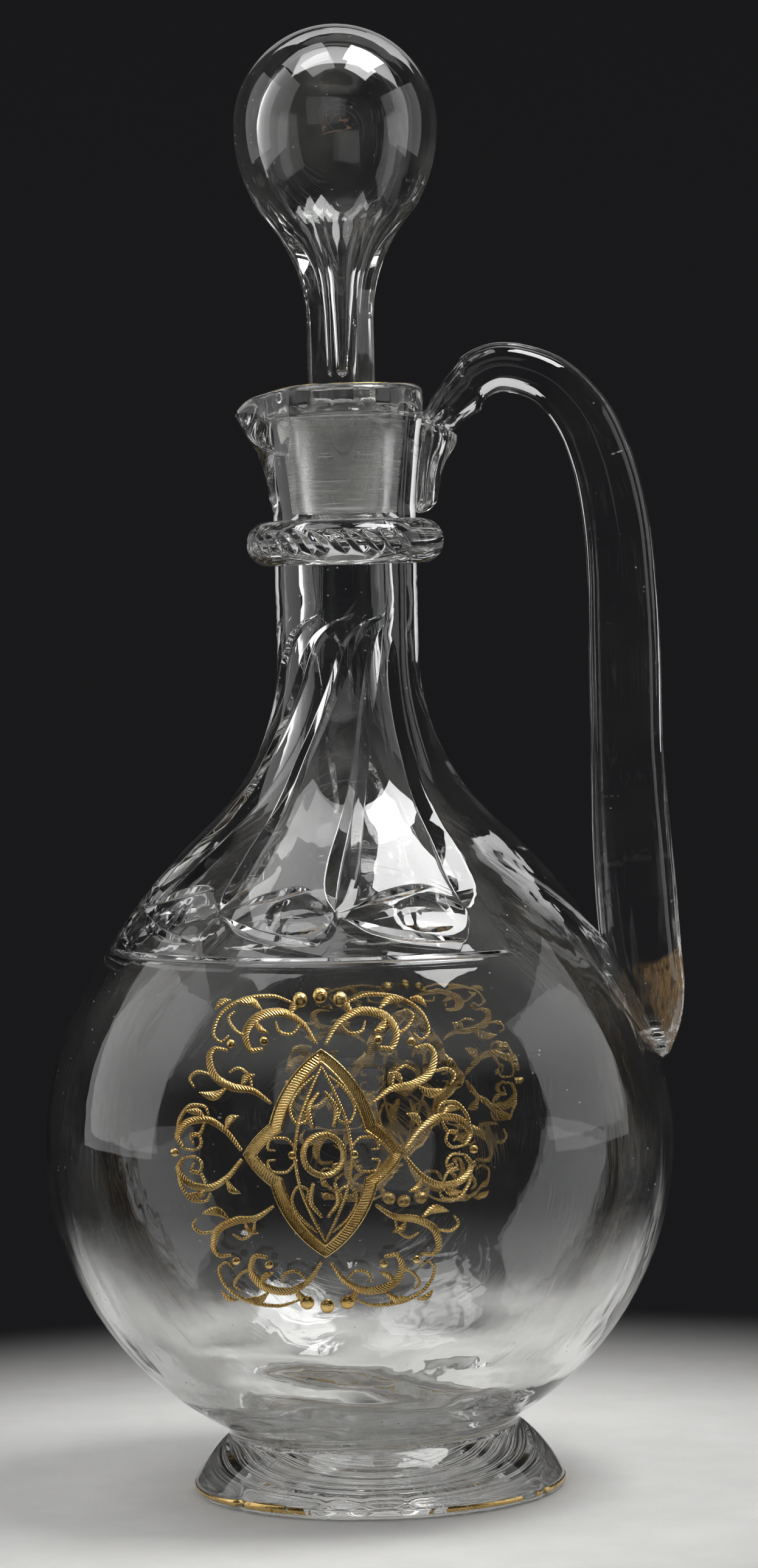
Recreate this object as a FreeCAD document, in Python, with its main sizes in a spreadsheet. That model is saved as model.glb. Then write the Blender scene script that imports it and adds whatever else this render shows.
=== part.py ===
import FreeCAD, Part
import Sketcher
import math
import os
from types import SimpleNamespace

# A footed glass decanter with an applied handle, a cut neck ring and a loose hollow stopper.
# Lengths are millimetres, +Z is up, the handle points along +X and the spout along -X.
# The origin is on the axis of the globe, in the plane that the foot stands on.

doc = FreeCAD.newDocument("Decanter")
sheet = doc.addObject("Spreadsheet::Sheet", "Sizes")

# Shares of the radius of the globe, which sets how large the whole vessel is blown.
RATIOS = {
    "shoulder_ratio": 1.9447,
    "sweep_ratio": 0.733,
    "neck_root_ratio": 1.5557,
    "needle_low_ratio": 0.8078,
    "handle_reach_ratio": 0.881,
    "handle_low_ratio": 0.2543,
    "foot_top_ratio": 0.4263,
    "ornament_rise_ratio": 0.0748,
    "front_ornament_ratio": 0.4637,
    "back_ornament_ratio": 0.4188,
    # Share of the radius of the stopper's flare.
    "panel_top_ratio": 0.8562,
}

SIZES = {
    # Globe and neck, outside.
    "globe_radius": 66.85,
    "globe_floor_height": 7.15,
    "neck_radius": 15.1,
    # Wall, bore and the ground socket that the stopper sits in.
    "globe_wall": 3.0,
    "base_wall": 4.4,
    "bore_radius": 9.4,
    "bore_length": 25.5,
    "bore_step_length": 4.0,
    "socket_length": 20.0,
    "socket_low_radius": 7.2,
    "socket_top_radius": 8.7,
    # Lip of the mouth, measured from the top of the socket.
    "collar_drop": 19.5,
    "lip_low_rise": 1.1,
    "rim_rise": 7.0,
    "lip_stand_out": 2.1,
    "lip_round": 1.9,
    "rim_width": 4.5,
    "mouth_round": 1.1,
    # Spout, pulled out of the lip, measured down from the rim.
    "spout_stand_out": 5.6,
    "spout_half_width": 5.6,
    "spout_edge_drop": 2.3,
    "spout_root_drop": 23.5,
    "spout_root_inset": 0.2,
    "channel_radius": 3.6,
    "channel_start_drop": 8.7,
    "channel_start_reach": 6.0,
    "channel_length": 32.0,
    "channel_rise_angle": 26.0,
    # Cutting of the shoulder: wheels with a sharp edge, one cut after the other round the glass.
    "needle_top_rise": 5.5,
    "needle_depth": 1.3,
    "needle_first_angle": 31.0,
    "needle_spacing_angle": 34.0,
    "needle_lean_angle": 8.0,
    "leaf_drop": 3.2,
    "leaf_spread": 3.6,
    "leaf_depth": 1.3,
    "leaf_wheel_radius": 160.0,
    "leaf_lean_angle": 81.0,
    "leaf_first_angle": 11.0,
    "wheel_edge_depth": 2.4,
    "wheel_edge_half_width": 3.0,
    "line_drop": 11.0,
    "line_depth": 0.5,
    "line_half_width": 0.7,
    "line_start_angle": 41.0,
    "line_sweep_angle": 262.0,
    # Foot, a thick gather of glass spun out flat, slightly off the axis of the globe.
    "foot_offset": 2.6,
    "foot_radius": 39.5,
    "foot_edge_low": 1.1,
    "foot_edge_length": 1.4,
    "foot_slope_radius": 35.0,
    "foot_top_height": 15.0,
    "foot_hollow_radius": 29.0,
    "foot_hollow_depth": 2.2,
    # Ring round the neck, with slanting notches.
    "ring_drop": 6.5,
    "ring_stand_out": 5.85,
    "ring_half_height": 4.7,
    "notch_wheel_radius": 9.0,
    "notch_depth": 1.25,
    "notch_lean_angle": 52.0,
    "notch_spacing_angle": 10.5,
    "notch_first_angle": 38.0,
    # Handle, a rod of glass drawn out, bent over and pressed on.
    "handle_top_rise": 3.3,
    "handle_rod_radius": 7.6,
    "tail_stand_out": 8.4,
    "tail_top_drop": 7.5,
    "tail_length": 19.2,
    "tail_half_width": 5.6,
    # Stopper: a ground plug, a stem cut in panels and a hollow blown ball.
    "plug_gap": 0.1,
    "plug_lift": 0.7,
    "plug_round": 0.9,
    "stem_inset": 1.3,
    "stem_step_rise": 1.1,
    "stem_length": 19.4,
    "ball_radius": 21.6,
    "ball_rise": 41.2,
    "ball_underside_radius": 33.0,
    "panel_depth": 0.55,
    "panel_low_rise": 1.0,
    "panel_width": 16.0,
    "ball_wall": 4.2,
    "bubble_lift": 0.4,
    "bubble_underside_radius": 30.0,
    "bubble_tail_rise": 6.0,
    "bubble_tail_radius": 3.0,
    "bubble_end_rise": 7.9,
    "bubble_end_radius": 1.3,
    # Gilding: raised gold on the globe, and a painted line on the foot and on the rim.
    "fuse_gap": 0.05,
    "gilt_thickness": 0.25,
    "bead_thickness": 0.6,
    "front_ornament_offset": -7.0,
    "back_ornament_offset": 10.0,
    "ribbon_width": 2.8,
    "stroke_half_width": 0.75,
    "bead_radius": 1.5,
    "dot_radius": 0.95,
    "paint_thickness": 0.12,
    "foot_line_drop": 0.2,
    "rim_line_inner_margin": 0.4,
    "rim_line_outer_margin": 0.2,
    # One overrun for every cut that passes through a face.
    "overrun": 6.0,
}

# Heights, radii and reaches that follow from the sizes above.
FORMULAS = {
    "globe_centre_height": "globe_floor_height + globe_radius",
    "shoulder_radius": "globe_radius * shoulder_ratio",
    "sweep_radius": "globe_radius * sweep_ratio",
    "neck_root_height": "globe_centre_height + globe_radius * neck_root_ratio",
    "bore_top_height": "neck_root_height + bore_length",
    "socket_low_height": "bore_top_height + bore_step_length",
    "socket_top_height": "socket_low_height + socket_length",
    "collar_height": "socket_top_height - collar_drop",
    "lip_low_height": "socket_top_height + lip_low_rise",
    "rim_height": "socket_top_height + rim_rise",
    "lip_radius": "neck_radius + lip_stand_out",
    "mouth_radius": "lip_radius - rim_width",
    "spout_reach": "lip_radius + spout_stand_out",
    "spout_edge_height": "rim_height - spout_edge_drop",
    "spout_root_height": "rim_height - spout_root_drop",
    "spout_root_radius": "neck_radius - spout_root_inset",
    "channel_start_height": "rim_height - channel_start_drop",
    "needle_low_height": "globe_centre_height + globe_radius * needle_low_ratio",
    "needle_top_height": "neck_root_height + needle_top_rise",
    "leaf_height": "needle_low_height - leaf_drop",
    "line_height": "needle_low_height - line_drop",
    "foot_edge_top": "foot_edge_low + foot_edge_length",
    "foot_top_radius": "globe_radius * foot_top_ratio",
    "ring_height": "collar_height - ring_drop",
    "ring_radius": "neck_radius + ring_stand_out",
    "handle_reach": "globe_radius * handle_reach_ratio",
    "handle_low_height": "globe_centre_height + globe_radius * handle_low_ratio",
    "handle_top_height": "rim_height + handle_top_rise",
    "tail_reach": "lip_radius + tail_stand_out",
    "tail_top_height": "rim_height - tail_top_drop",
    "tail_low_height": "tail_top_height - tail_length",
    "plug_low_height": "socket_low_height + plug_lift",
    "stem_radius": "socket_top_radius - stem_inset",
    "stem_step_height": "socket_top_height + stem_step_rise",
    "stem_top_height": "stem_step_height + stem_length",
    "ball_centre_height": "stem_top_height + ball_rise",
    "flare_radius": "((stem_radius - ball_radius + ball_underside_radius) ^ 2 + ball_rise ^ 2"
                    " - ball_underside_radius ^ 2) / (2 * (ball_radius - stem_radius))",
    "panel_low_height": "stem_step_height + panel_low_rise",
    "panel_top_height": "stem_top_height + flare_radius * panel_top_ratio",
    "bubble_radius": "ball_radius - ball_wall",
    "bubble_centre_height": "ball_centre_height + bubble_lift",
    "bubble_tail_height": "stem_top_height + bubble_tail_rise",
    "bubble_end_height": "stem_step_height + bubble_end_rise",
    "ornament_height": "globe_centre_height + globe_radius * ornament_rise_ratio",
    "front_ornament_half_height": "globe_radius * front_ornament_ratio",
    "back_ornament_half_height": "globe_radius * back_ornament_ratio",
    "foot_line_low": "foot_edge_low + 0.5 * foot_line_drop",
    "foot_line_high": "foot_edge_top - foot_line_drop",
    "rim_line_inner_radius": "mouth_radius + mouth_round + rim_line_inner_margin",
    "rim_line_outer_radius": "lip_radius - lip_round - rim_line_outer_margin",
}

# Counts, which are not lengths.
NEEDLES = 8
LEAF_PAIRS = NEEDLES - 1
NOTCHES = 25
PANELS = 8
# Heights at which the hollow of the shoulder is measured to find the needle wheel's radius.
NEEDLE_STEPS = 60

cells = {**RATIOS, **SIZES, **{alias: "=" + formula for alias, formula in FORMULAS.items()}}
for row, (alias, content) in enumerate(cells.items(), start=1):
    cell = "A%d" % row
    sheet.set(cell, str(content))
    sheet.setAlias(cell, alias)
doc.recompute()

mm = SimpleNamespace(**{alias: float(sheet.get(alias)) for alias in cells})

X_WAY = FreeCAD.Vector(1, 0, 0)
Y_WAY = FreeCAD.Vector(0, 1, 0)
Z_WAY = FreeCAD.Vector(0, 0, 1)


def origin_feature(body, role):
    """One of the origin planes or axes of a body."""
    return [f for f in body.Origin.OriginFeatures if f.Role == role][0]


class Outline:
    """A closed outline in the upright plane of a body, drawn in place and then held by named sizes."""

    def __init__(self, body, name, role="XZ_Plane"):
        self.sketch = body.newObject("Sketcher::SketchObject", name)
        self.sketch.AttachmentSupport = [(origin_feature(body, role), "")]
        self.sketch.MapMode = "FlatFace"
        self.ends = []
        self.here = None

    def start(self, across, up):
        self.here = FreeCAD.Vector(across, up, 0)

    def line(self, across, up):
        """A straight line from the last point."""
        there = FreeCAD.Vector(across, up, 0)
        index = self.sketch.addGeometry(Part.LineSegment(self.here, there), False)
        self.ends.append((index, 1, 2))
        self.here = there
        return index

    def arc(self, centre, across, up, left_turn=True):
        """An arc about a centre from the last point; it runs anticlockwise when left_turn is True."""
        there = FreeCAD.Vector(across, up, 0)
        middle = FreeCAD.Vector(centre[0], centre[1], 0)
        one, two = self.here - middle, there - middle
        first = math.atan2(one.y, one.x)
        last = math.atan2(two.y, two.x)
        if not left_turn:
            first, last = last, first
        if last < first:
            last += 2 * math.pi
        circle = Part.Circle(middle, Z_WAY, one.Length)
        index = self.sketch.addGeometry(Part.ArcOfCircle(circle, first, last), False)
        self.ends.append((index, 1, 2) if left_turn else (index, 2, 1))
        self.here = there
        return index

    def join(self, smooth=()):
        """Ties each piece to the next; after the pieces numbered in smooth the joint is tangent."""
        count = len(self.ends)
        for number, (index, _, last) in enumerate(self.ends):
            following, first, _ = self.ends[(number + 1) % count]
            kind = "Tangent" if number in smooth else "Coincident"
            self.sketch.addConstraint(Sketcher.Constraint(kind, index, last, following, first))

    def hold(self, kind, arguments, value, expression):
        """One dimension of the sketch, bound to the sheet."""
        index = self.sketch.addConstraint(Sketcher.Constraint(kind, *arguments, value))
        self.sketch.setExpression("Constraints[%d]" % index, expression)

    def place(self, number, across, up):
        """Holds the end of one piece at named sizes; across is None for a point on the axis."""
        index, _, last = self.ends[number]
        point = self.sketch.getPoint(index, last)
        if across is None:
            self.sketch.addConstraint(Sketcher.Constraint("PointOnObject", index, last, -2))
        else:
            self.hold("DistanceX", (index, last), point.x, across)
        if up is None:
            self.sketch.addConstraint(Sketcher.Constraint("PointOnObject", index, last, -1))
        else:
            self.hold("DistanceY", (index, last), point.y, up)

    def radius(self, index, expression):
        self.hold("Radius", (index,), self.sketch.Geometry[index].Radius, expression)

    def centre_on_axis(self, index, up):
        """Puts the centre of an arc on the upright axis at a named height."""
        self.sketch.addConstraint(Sketcher.Constraint("PointOnObject", index, 3, -2))
        self.hold("DistanceY", (index, 3), self.sketch.getPoint(index, 3).y, up)


def turned_body(label, outline_name):
    """An empty body and the outline that will be turned round its upright axis."""
    body = doc.addObject("PartDesign::Body", label)
    return body, Outline(body, outline_name)


def turn(body, sketch, name):
    """Turns a closed outline round the upright axis of its sketch."""
    doc.recompute()
    revolution = body.newObject("PartDesign::Revolution", name)
    revolution.Profile = sketch
    revolution.ReferenceAxis = (sketch, ["V_Axis"])
    revolution.Angle = 360
    body.Tip = revolution
    doc.recompute()
    return revolution


def tangent_circle(inner_centre, inner_radius, outer_centre, outer_radius, radius):
    """Centre of the arc that holds one circle inside it and touches another from outside."""
    first, second = radius - inner_radius, radius + outer_radius
    apart = math.hypot(outer_centre[0] - inner_centre[0], outer_centre[1] - inner_centre[1])
    along = (first * first - second * second + apart * apart) / (2 * apart)
    aside = math.sqrt(first * first - along * along)
    way = ((outer_centre[0] - inner_centre[0]) / apart, (outer_centre[1] - inner_centre[1]) / apart)
    return (inner_centre[0] + along * way[0] - aside * way[1],
            inner_centre[1] + along * way[1] + aside * way[0])


def touch(centre, through, radius):
    """The point of a circle that lies on the line from its centre through another centre."""
    apart = math.hypot(through[0] - centre[0], through[1] - centre[1])
    return (centre[0] + (through[0] - centre[0]) / apart * radius,
            centre[1] + (through[1] - centre[1]) / apart * radius)


def vessel_curve(globe_radius, globe_height, shoulder_radius, sweep_radius):
    """The three arcs from the globe to the neck: their centres, radii and points of contact."""
    globe = (0, globe_height)
    sweep = (mm.neck_radius + mm.sweep_radius, mm.neck_root_height)
    shoulder = tangent_circle(globe, globe_radius, sweep, sweep_radius, shoulder_radius)
    return SimpleNamespace(
        globe=globe, shoulder=shoulder, sweep=sweep, sweep_radius=sweep_radius,
        globe_radius=globe_radius, shoulder_radius=shoulder_radius,
        low=touch(shoulder, globe, shoulder_radius), high=touch(shoulder, sweep, shoulder_radius))


OUTSIDE = vessel_curve(mm.globe_radius, mm.globe_centre_height, mm.shoulder_radius, mm.sweep_radius)
INSIDE = vessel_curve(mm.globe_radius - mm.globe_wall,
                      mm.globe_centre_height + mm.base_wall - mm.globe_wall,
                      mm.shoulder_radius - mm.globe_wall,
                      mm.sweep_radius + mm.neck_radius - mm.bore_radius)


def outside_radius(height):
    """Radius of the outside of the vessel at a height between the globe and the ring."""
    curve = OUTSIDE
    if height <= curve.low[1]:
        return math.sqrt(curve.globe_radius ** 2 - (height - curve.globe[1]) ** 2)
    if height <= curve.high[1]:
        centre = curve.shoulder
        return centre[0] + math.sqrt(curve.shoulder_radius ** 2 - (height - centre[1]) ** 2)
    if height <= curve.sweep[1]:
        centre = curve.sweep
        return centre[0] - math.sqrt(curve.sweep_radius ** 2 - (height - centre[1]) ** 2)
    return mm.neck_radius


def rise(outline, curve, upward):
    """Draws globe, shoulder and sweep arcs, from the pole up or back down to it."""
    globe, shoulder, sweep = curve.globe, curve.shoulder, curve.sweep
    neck = sweep[0] - curve.sweep_radius
    pole = globe[1] - curve.globe_radius
    if upward:
        return (outline.arc(globe, *curve.low), outline.arc(shoulder, *curve.high),
                outline.arc(sweep, neck, sweep[1], left_turn=False))
    sweep_arc = outline.arc(sweep, *curve.high)
    shoulder_arc = outline.arc(shoulder, *curve.low, left_turn=False)
    return outline.arc(globe, 0, pole, left_turn=False), shoulder_arc, sweep_arc


def hold_rise(outline, arcs, globe_radius, globe_height, shoulder_radius, sweep_radius):
    """Binds the three arcs of the vessel to expressions of the sheet."""
    globe_arc, shoulder_arc, sweep_arc = arcs
    outline.radius(globe_arc, globe_radius)
    outline.centre_on_axis(globe_arc, globe_height)
    outline.radius(shoulder_arc, shoulder_radius)
    outline.radius(sweep_arc, sweep_radius)
    outline.hold("DistanceY", (sweep_arc, 3), mm.neck_root_height, "Sizes.neck_root_height")


def turn_vessel():
    """Globe, neck, lip, ground socket and bore as one turned wall."""
    body, outline = turned_body("vessel_turned", "vessel_wall")
    outline.start(0, mm.globe_centre_height - mm.globe_radius)
    outer = rise(outline, OUTSIDE, True)
    outline.line(mm.neck_radius, mm.collar_height)
    outline.line(mm.lip_radius, mm.lip_low_height)
    outline.line(mm.lip_radius, mm.rim_height - mm.lip_round)
    lip_inner = mm.lip_radius - mm.lip_round
    lip_arc = outline.arc((lip_inner, mm.rim_height - mm.lip_round), lip_inner, mm.rim_height)
    outline.line(mm.mouth_radius + mm.mouth_round, mm.rim_height)
    mouth_arc = outline.arc((mm.mouth_radius + mm.mouth_round, mm.rim_height - mm.mouth_round),
                            mm.mouth_radius, mm.rim_height - mm.mouth_round)
    outline.line(mm.socket_top_radius, mm.socket_top_height)
    outline.line(mm.socket_low_radius, mm.socket_low_height)
    outline.line(mm.bore_radius, mm.bore_top_height)
    outline.line(mm.bore_radius, mm.neck_root_height)
    inner = rise(outline, INSIDE, False)
    outline.line(0, mm.globe_centre_height - mm.globe_radius)
    outline.join(smooth=(0, 1, 13, 14))
    hold_rise(outline, outer, "Sizes.globe_radius", "Sizes.globe_centre_height",
              "Sizes.shoulder_radius", "Sizes.sweep_radius")
    hold_rise(outline, inner, "Sizes.globe_radius - Sizes.globe_wall",
              "Sizes.globe_centre_height + Sizes.base_wall - Sizes.globe_wall",
              "Sizes.shoulder_radius - Sizes.globe_wall",
              "Sizes.sweep_radius + Sizes.neck_radius - Sizes.bore_radius")
    outline.place(2, "Sizes.neck_radius", "Sizes.neck_root_height")
    outline.place(3, "Sizes.neck_radius", "Sizes.collar_height")
    outline.place(4, "Sizes.lip_radius", "Sizes.lip_low_height")
    outline.place(5, "Sizes.lip_radius", "Sizes.rim_height - Sizes.lip_round")
    outline.place(6, "Sizes.lip_radius - Sizes.lip_round", "Sizes.rim_height")
    outline.radius(lip_arc, "Sizes.lip_round")
    outline.place(7, "Sizes.mouth_radius + Sizes.mouth_round", "Sizes.rim_height")
    outline.place(8, "Sizes.mouth_radius", "Sizes.rim_height - Sizes.mouth_round")
    outline.radius(mouth_arc, "Sizes.mouth_round")
    outline.place(9, "Sizes.socket_top_radius", "Sizes.socket_top_height")
    outline.place(10, "Sizes.socket_low_radius", "Sizes.socket_low_height")
    outline.place(11, "Sizes.bore_radius", "Sizes.bore_top_height")
    outline.place(12, "Sizes.bore_radius", "Sizes.neck_root_height")
    for number in (15, 16):
        index, _, last = outline.ends[number]
        outline.sketch.addConstraint(Sketcher.Constraint("PointOnObject", index, last, -2))
    turn(body, outline.sketch, "vessel_turning")
    return body


def wheel_cut(body, name, foot, elevation, azimuth, wheel_radius, depth, lean):
    """One cut of a sharp-edged wheel into a turned body.

    The wheel meets the surface at foot, a radius and a height, and its centre stands off along the
    surface's normal, which rises by elevation. lean turns the wheel about that normal.
    """
    outline = Outline(body, name + "_edge", "XY_Plane")
    stand_off = wheel_radius - depth
    centre = FreeCAD.Vector(foot[0] + stand_off * math.cos(elevation), 0,
                            foot[1] + stand_off * math.sin(elevation))
    around = FreeCAD.Rotation(Z_WAY, azimuth)
    raised = FreeCAD.Rotation(Y_WAY, -math.degrees(elevation))
    leaning = FreeCAD.Rotation(X_WAY, lean)
    outline.sketch.AttachmentOffset = FreeCAD.Placement(
        around.multVec(centre), around * raised * leaning)
    base = mm.wheel_edge_depth - wheel_radius
    outline.start(-wheel_radius, 0)
    outline.line(base, -mm.wheel_edge_half_width)
    outline.line(base, mm.wheel_edge_half_width)
    outline.line(-wheel_radius, 0)
    outline.join()
    held_base = "Sizes.wheel_edge_depth - %r" % wheel_radius
    outline.place(0, held_base, "0 - Sizes.wheel_edge_half_width")
    outline.place(1, held_base, "Sizes.wheel_edge_half_width")
    outline.place(2, "0 - %r" % wheel_radius, None)
    doc.recompute()
    groove = body.newObject("PartDesign::Groove", name)
    groove.Profile = outline.sketch
    groove.ReferenceAxis = (outline.sketch, ["V_Axis"])
    groove.Angle = 360
    body.Tip = groove
    doc.recompute()
    return groove


def repeat(body, feature, name, count, spacing_alias, whole_turn=False):
    """Repeats a cut round the upright axis, clockwise as seen from above."""
    pattern = body.newObject("PartDesign::PolarPattern", name)
    pattern.Originals = [feature]
    pattern.Axis = (origin_feature(body, "Z_Axis"), [""])
    pattern.Occurrences = count
    pattern.Reversed = True
    if whole_turn:
        pattern.Angle = 360
    else:
        pattern.setExpression("Angle", "%d * Sizes.%s" % (count - 1, spacing_alias))
    body.Tip = pattern
    doc.recompute()
    return pattern


def front(angle):
    """Azimuth about +Z of a direction given from the front, which is -Y, towards the handle."""
    return angle - 90


def cut_needles(body):
    """Long lens-shaped cuts from the shoulder to the neck, all leaning towards the handle."""
    low = (outside_radius(mm.needle_low_height), mm.needle_low_height)
    high = (outside_radius(mm.needle_top_height), mm.needle_top_height)
    chord = math.hypot(low[0] - high[0], low[1] - high[1])
    elevation = math.atan2(low[0] - high[0], high[1] - low[1])
    normal = (math.cos(elevation), math.sin(elevation))
    sag, foot = 0, low
    for step in range(1, NEEDLE_STEPS):
        height = low[1] + (high[1] - low[1]) * step / NEEDLE_STEPS
        across = outside_radius(height)
        here = (low[0] - across) * normal[0] + (low[1] - height) * normal[1]
        if here > sag:
            sag, foot = here, (across, height)
    sag += mm.needle_depth
    wheel_radius = (chord * chord / 4 + sag * sag) / (2 * sag)
    needle = wheel_cut(body, "needle_cut", foot, elevation, front(mm.needle_first_angle),
                       wheel_radius, mm.needle_depth, -mm.needle_lean_angle)
    repeat(body, needle, "needles", NEEDLES, "needle_spacing_angle")


def cut_leaves(body):
    """Two short leaf cuts beside the foot of each needle, opening towards the handle."""
    for name, side in (("leaf_rising", 1), ("leaf_falling", -1)):
        height = mm.leaf_height + side * mm.leaf_spread
        across = outside_radius(height)
        centre = OUTSIDE.shoulder
        elevation = math.atan2(height - centre[1], across - centre[0])
        leaf = wheel_cut(body, name, (across, height), elevation, front(mm.leaf_first_angle),
                         mm.leaf_wheel_radius, mm.leaf_depth, -side * mm.leaf_lean_angle)
        repeat(body, leaf, name + "_row", LEAF_PAIRS, "needle_spacing_angle")


def cut_line(body):
    """The engraved line below the leaves, which runs round the glass but not under the handle."""
    outline = Outline(body, "line_edge")
    outline.sketch.AttachmentOffset = FreeCAD.Placement(
        FreeCAD.Vector(), FreeCAD.Rotation(Y_WAY, front(mm.line_start_angle)))
    across = outside_radius(mm.line_height)
    outline.start(across - mm.line_depth, mm.line_height)
    outline.line(across + mm.line_half_width, mm.line_height - mm.line_half_width)
    outline.line(across + mm.line_half_width, mm.line_height + mm.line_half_width)
    outline.line(across - mm.line_depth, mm.line_height)
    outline.join()
    doc.recompute()
    groove = body.newObject("PartDesign::Groove", "engraved_line")
    groove.Profile = outline.sketch
    groove.ReferenceAxis = (outline.sketch, ["V_Axis"])
    groove.setExpression("Angle", "Sizes.line_sweep_angle")
    groove.Reversed = True
    body.Tip = groove
    doc.recompute()


def shell_ball(name, radius_expression):
    """A ball about the centre of the globe."""
    ball = doc.addObject("Part::Sphere", name)
    ball.setExpression("Radius", radius_expression)
    ball.setExpression("Placement.Base.z", "Sizes.globe_centre_height")
    return ball


def combine(kind, label, first, second):
    """One boolean of two objects of the document."""
    result = doc.addObject("Part::" + kind, label)
    result.Base = first
    result.Tool = second
    doc.recompute()
    return result


def circle(name, radius_expression, placement):
    """A circle that a loft passes through."""
    ring = doc.addObject("Part::Circle", name)
    ring.setExpression("Radius", radius_expression)
    ring.Placement = placement
    return ring


def loft(name, sections, ruled=False):
    """A solid through a row of circles."""
    solid = doc.addObject("Part::Loft", name)
    solid.Sections = sections
    solid.Solid = True
    solid.Ruled = ruled
    doc.recompute()
    return solid


def make_vessel():
    """Blown globe with its neck, pulled spout and cut shoulder."""
    body = turn_vessel()
    cut_line(body)
    cut_needles(body)
    cut_leaves(body)
    root = circle("spout_root", "Sizes.spout_root_radius", FreeCAD.Placement(
        FreeCAD.Vector(0, 0, mm.spout_root_height), FreeCAD.Rotation()))
    tip = circle("spout_tip", "Sizes.spout_half_width", FreeCAD.Placement(
        FreeCAD.Vector(mm.spout_half_width - mm.spout_reach, 0, mm.spout_edge_height),
        FreeCAD.Rotation()))
    bulge = loft("spout_bulge", [root, tip], ruled=True)
    core = doc.addObject("Part::Cylinder", "spout_core")
    core.setExpression("Radius", "Sizes.mouth_radius + Sizes.mouth_round")
    core.setExpression("Height", "Sizes.rim_height")
    lip = combine("Cut", "spout_lip", bulge, core)
    whole = combine("Fuse", "vessel_with_spout", body, lip)
    trough = doc.addObject("Part::Cylinder", "spout_trough")
    trough.setExpression("Radius", "Sizes.channel_radius")
    trough.setExpression("Height", "Sizes.channel_length")
    along = FreeCAD.Rotation(Y_WAY, mm.channel_rise_angle - 90)
    start = FreeCAD.Vector(-mm.channel_start_reach, 0, mm.channel_start_height)
    trough.Placement = FreeCAD.Placement(start, along)
    opening = doc.addObject("Part::Box", "spout_opening")
    opening.setExpression("Length", "Sizes.channel_length")
    opening.setExpression("Width", "2 * Sizes.channel_radius")
    opening.setExpression("Height", "Sizes.channel_length")
    opening.Placement = FreeCAD.Placement(
        start + along.multVec(FreeCAD.Vector(0, -mm.channel_radius, 0)), along)
    channel = combine("Fuse", "spout_channel", trough, opening)
    return combine("Cut", "vessel", whole, channel)


def make_foot():
    """Spun foot with a dished underside, shaped on top to the globe that it carries."""
    body, outline = turned_body("foot_turned", "foot_wall")
    dish = (mm.foot_hollow_radius ** 2 + mm.foot_hollow_depth ** 2) / (2 * mm.foot_hollow_depth)
    outline.start(0, mm.foot_hollow_depth)
    outline.arc((0, mm.foot_hollow_depth - dish), mm.foot_hollow_radius, 0, left_turn=False)
    outline.line(mm.foot_radius - mm.foot_edge_low, 0)
    edge = outline.arc((mm.foot_radius - mm.foot_edge_low, mm.foot_edge_low),
                       mm.foot_radius, mm.foot_edge_low)
    outline.line(mm.foot_radius, mm.foot_edge_top)
    across = mm.foot_radius - mm.foot_top_radius
    up = mm.foot_top_height - mm.foot_edge_top
    slope = math.hypot(across, up)
    back = math.sqrt(mm.foot_slope_radius ** 2 - slope ** 2 / 4)
    centre = (mm.foot_top_radius + across / 2 - back * up / slope,
              mm.foot_edge_top + up / 2 - back * across / slope)
    slope_arc = outline.arc(centre, mm.foot_top_radius, mm.foot_top_height)
    outline.line(0, mm.foot_top_height)
    outline.line(0, mm.foot_hollow_depth)
    outline.join()
    outline.sketch.addConstraint(Sketcher.Constraint("PointOnObject", 0, 3, -2))
    outline.place(0, "Sizes.foot_hollow_radius", None)
    outline.place(1, "Sizes.foot_radius - Sizes.foot_edge_low", None)
    outline.place(2, "Sizes.foot_radius", "Sizes.foot_edge_low")
    outline.radius(edge, "Sizes.foot_edge_low")
    outline.place(3, "Sizes.foot_radius", "Sizes.foot_edge_top")
    outline.place(4, "Sizes.foot_top_radius", "Sizes.foot_top_height")
    outline.radius(slope_arc, "Sizes.foot_slope_radius")
    outline.place(5, None, "Sizes.foot_top_height")
    outline.place(6, None, "Sizes.foot_hollow_depth")
    turn(body, outline.sketch, "foot_turning")
    body.setExpression("Placement.Base.x", "Sizes.foot_offset")
    seat = shell_ball("foot_seat", "Sizes.globe_radius + Sizes.fuse_gap")
    return combine("Cut", "foot", body, seat)


def make_ring():
    """Ring of glass round the neck, notched all round but at the handle."""
    body, outline = turned_body("neck_ring", "ring_section")
    inner = mm.neck_radius + mm.fuse_gap
    reach = mm.ring_radius - inner
    round_radius = (mm.ring_half_height ** 2 + reach ** 2) / (2 * reach)
    low, high = mm.ring_height - mm.ring_half_height, mm.ring_height + mm.ring_half_height
    outline.start(inner, low)
    outline.arc((mm.ring_radius - round_radius, mm.ring_height), inner, high)
    outline.line(inner, low)
    outline.join()
    edge = "Sizes.neck_radius + Sizes.fuse_gap"
    stand = "(Sizes.ring_radius - Sizes.neck_radius - Sizes.fuse_gap)"
    outline.place(0, edge, "Sizes.ring_height + Sizes.ring_half_height")
    outline.place(1, edge, "Sizes.ring_height - Sizes.ring_half_height")
    outline.radius(0, "(Sizes.ring_half_height ^ 2 + %s ^ 2) / (2 * %s)" % (stand, stand))
    turn(body, outline.sketch, "ring_turning")
    notch = wheel_cut(body, "notch", (mm.ring_radius, mm.ring_height), 0,
                      front(mm.notch_first_angle), mm.notch_wheel_radius, mm.notch_depth,
                      mm.notch_lean_angle)
    repeat(body, notch, "notches", NOTCHES, "notch_spacing_angle")
    return body


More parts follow.
